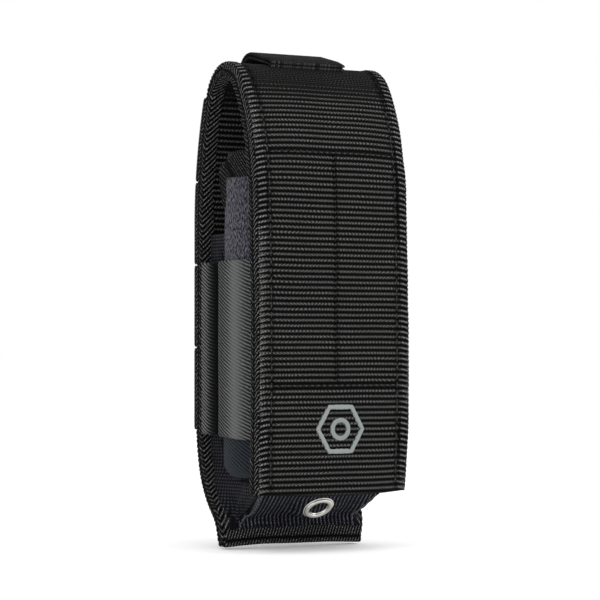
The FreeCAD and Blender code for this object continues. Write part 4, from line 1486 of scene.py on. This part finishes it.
flatStrap(
    "strapStiffener", strapRoute, strap["sewn"] + 1.5, strapEnd - 1.5,
    -strap["layer"], -strap["layer"] - strap["core"], strap["coreHalf"], stiffenerFinish,
    "belt_strap", "strap_stiffener",
)
flatStrap(
    "strapOuter", strapRoute, strap["sewn"], strapEnd, -strap["layer"] - strap["core"], -strapFull,
    strap["half"], strapFinish, "belt_strap", "strap_outer",
)
print("rows and strap made")


# ---- metal: the eyelet is turned afresh with a rolled rim, and the snap keeps its CAD shape
def turnedPiece(name, profile, centre, axis, finish, body, node, count=72):
    # A closed outline of (radius, height) pairs turned round an axis through centre.
    profile = np.array(profile, float)
    a = np.linspace(0, 2 * np.pi, count + 1)[:-1]
    axis = np.array(axis) / np.linalg.norm(axis)
    sideOne = np.array([1.0, 0, 0])
    sideTwo = np.cross(axis, sideOne)
    spoke = np.cos(a)[:, None] * sideOne + np.sin(a)[:, None] * sideTwo
    points = centre + profile[None, :, 0, None] * spoke[:, None, :] + profile[None, :, 1, None] * axis
    rowsCount, cols = points.shape[:2]
    index = np.arange(rowsCount * cols).reshape(rowsCount, cols)
    nextRow, nextCol = np.roll(index, -1, 0), np.roll(index, -1, 1)
    quads = np.stack([index, nextCol, np.roll(nextCol, -1, 0), nextRow], -1).reshape(-1, 4)
    flatPoints = points.reshape(-1, 3)
    attributes = {"u": flatPoints[:, 0], "v": flatPoints[:, 2], "ridge": np.ones(len(flatPoints))}
    piece = skin(name, flatPoints, quads, attributes, finish, body)
    work = bmesh.new()
    work.from_mesh(piece.data)
    bmesh.ops.recalc_face_normals(work, faces=work.faces)
    work.to_mesh(piece.data)
    work.free()
    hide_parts(node)


eyelet = {"bore": 2.5, "mouth": 3.05, "roll": 4.6, "rim": 5.0, "height": 0.62, "foot": -1.4}


def rolledRim():
    # Up the bore, out to a wider mouth, over a half-round roll and down to a thin flat flange.
    e = eyelet
    middle, reach = (e["mouth"] + e["roll"]) / 2, (e["roll"] - e["mouth"]) / 2
    t = np.linspace(math.pi, 0, 20)
    over = [(middle + reach * math.cos(k), 0.16 + e["height"] * math.sin(k) ** 0.8) for k in t]
    inside = [(e["bore"], e["foot"]), (e["bore"] + 0.05, -0.5), (e["bore"] + 0.25, -0.1)]
    flange = [(e["rim"] - 0.1, 0.16), (e["rim"], 0.06), (e["rim"], -0.02)]
    return inside + over + flange + [(e["bore"] + 0.5, -0.25), (e["bore"] + 0.4, e["foot"])]


ey, ez, eny, enz = along(slopeRoute, np.array([slopeMiddle]))
eyeletCentre = np.array([eyeletSide, ey[0], ez[0]])
tilt = slope["eyeletTilt"]
eyeletAxis = (0, -eny[0] - tilt * enz[0], -enz[0] + tilt * eny[0])
eyeletCentre = eyeletCentre + slope["eyeletReach"] * tilt * np.array([0, -eny[0], -enz[0]])
turnedPiece("eyeletRing", rolledRim(), eyeletCentre, eyeletAxis, nickelFinish, "root", "eyelet")
for node, finish in (
    ("eyelet_washer", nickelFinish),
    ("snap_stud", snapMetalFinish),
    ("snap_rivet", snapMetalFinish),
    ("snap_socket", snapMetalFinish),
    ("snap_cap", snapBlackFinish),
):
    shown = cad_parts[node]
    shown.data.materials.clear()
    shown.data.materials.append(finish)
print("metal made")


# ---- floor, light and camera
studio = {
    "floorGrey": 0.92,
    "floorGlow": 0.12,
    "worldLight": 1.0,
    "keyPower": 5.0,
    "fillPower": 2.0,
    "topPower": 3.0,
}


def studioFloor():
    # A wide pale disc just under the sheath: circles of growing radius round its middle.
    a = np.linspace(0, 2 * np.pi, 97)[:-1]
    radius = np.array([0.02, 0.2, 1.0, 4.0, 12.0])
    x = radius[:, None] * np.cos(a)[None, :]
    y = radius[:, None] * np.sin(a)[None, :] - 0.02
    z = np.full_like(x, footHeight * mm - 0.0008)
    points = np.stack([x, y, z], -1).reshape(-1, 3)
    index = np.arange(len(points)).reshape(len(radius), len(a))
    side = np.roll(index, -1, 1)
    faces = np.stack([index[:-1], index[1:], side[1:], side[:-1]], -1).reshape(-1, 4).tolist()
    faces.append(index[0].tolist())
    mesh = bpy.data.meshes.new("floor")
    mesh.from_pydata(points.tolist(), [], faces)
    floor = bpy.data.objects.new("floor", mesh)
    bpy.context.scene.collection.objects.link(floor)
    material, tree, shader = newFinish("paleFloor", 0.9)
    place = put(tree, "ShaderNodeTexCoord").outputs["Object"]
    grain = speckle(tree, place, 3.0)
    g = studio["floorGrey"]
    tree.links.new(blendColours(tree, grain, (g * 0.985,) * 3, (g,) * 3), shader.inputs["Base Color"])
    shader.inputs["Emission Color"].default_value = (1, 1, 1, 1)
    shader.inputs["Emission Strength"].default_value = studio["floorGlow"]
    mesh.materials.append(material)


def softBox(name, place, aim, width, height, power):
    data = bpy.data.lights.new(name, "AREA")
    data.shape = "RECTANGLE"
    data.size = width
    data.size_y = height
    data.energy = power
    lamp = bpy.data.objects.new(name, data)
    bpy.context.scene.collection.objects.link(lamp)
    lamp.location = place
    way = np.array(aim) - np.array(place)
    lamp.rotation_euler = Vector(way).to_track_quat("-Z", "Y").to_euler()


camera = {"aim": (0.0, -0.0231, 0.0049), "distance": 0.735, "azimuth": -28.9, "rise": -1.2, "lens": 144.0}


def studioCamera():
    # The eye stands at a distance from the aim, turned left of the front and a little below level.
    c = camera
    a, e = math.radians(c["azimuth"]), math.radians(c["rise"])
    away = Vector((math.sin(a) * math.cos(e), -math.cos(a) * math.cos(e), math.sin(e)))
    data = bpy.data.cameras.new("studioCamera")
    data.lens = c["lens"]
    data.sensor_width = 36.0
    data.clip_start = 0.01
    data.clip_end = 100.0
    eye = bpy.data.objects.new("studioCamera", data)
    bpy.context.scene.collection.objects.link(eye)
    eye.location = Vector(c["aim"]) + away * c["distance"]
    eye.rotation_euler = (-away).to_track_quat("-Z", "Y").to_euler()
    bpy.context.scene.camera = eye


studioFloor()
softBox("topLight", (-0.15, -0.35, 1.0), (0, 0, 0), 1.2, 1.2, studio["topPower"])
softBox("keyLight", (0.75, -1.0, 0.45), (0, 0, 0), 0.8, 0.8, studio["keyPower"])
softBox("fillLight", (-1.1, -0.35, 0.35), (0, 0, 0), 0.8, 0.8, studio["fillPower"])
world = bpy.data.worlds.new("paleStudio")
world.use_nodes = True
world.node_tree.nodes["Background"].inputs[0].default_value = (1, 1, 1, 1)
world.node_tree.nodes["Background"].inputs[1].default_value = studio["worldLight"]
bpy.context.scene.world = world
bpy.context.scene.view_settings.view_transform = "Standard"
studioCamera()

print("scene made")
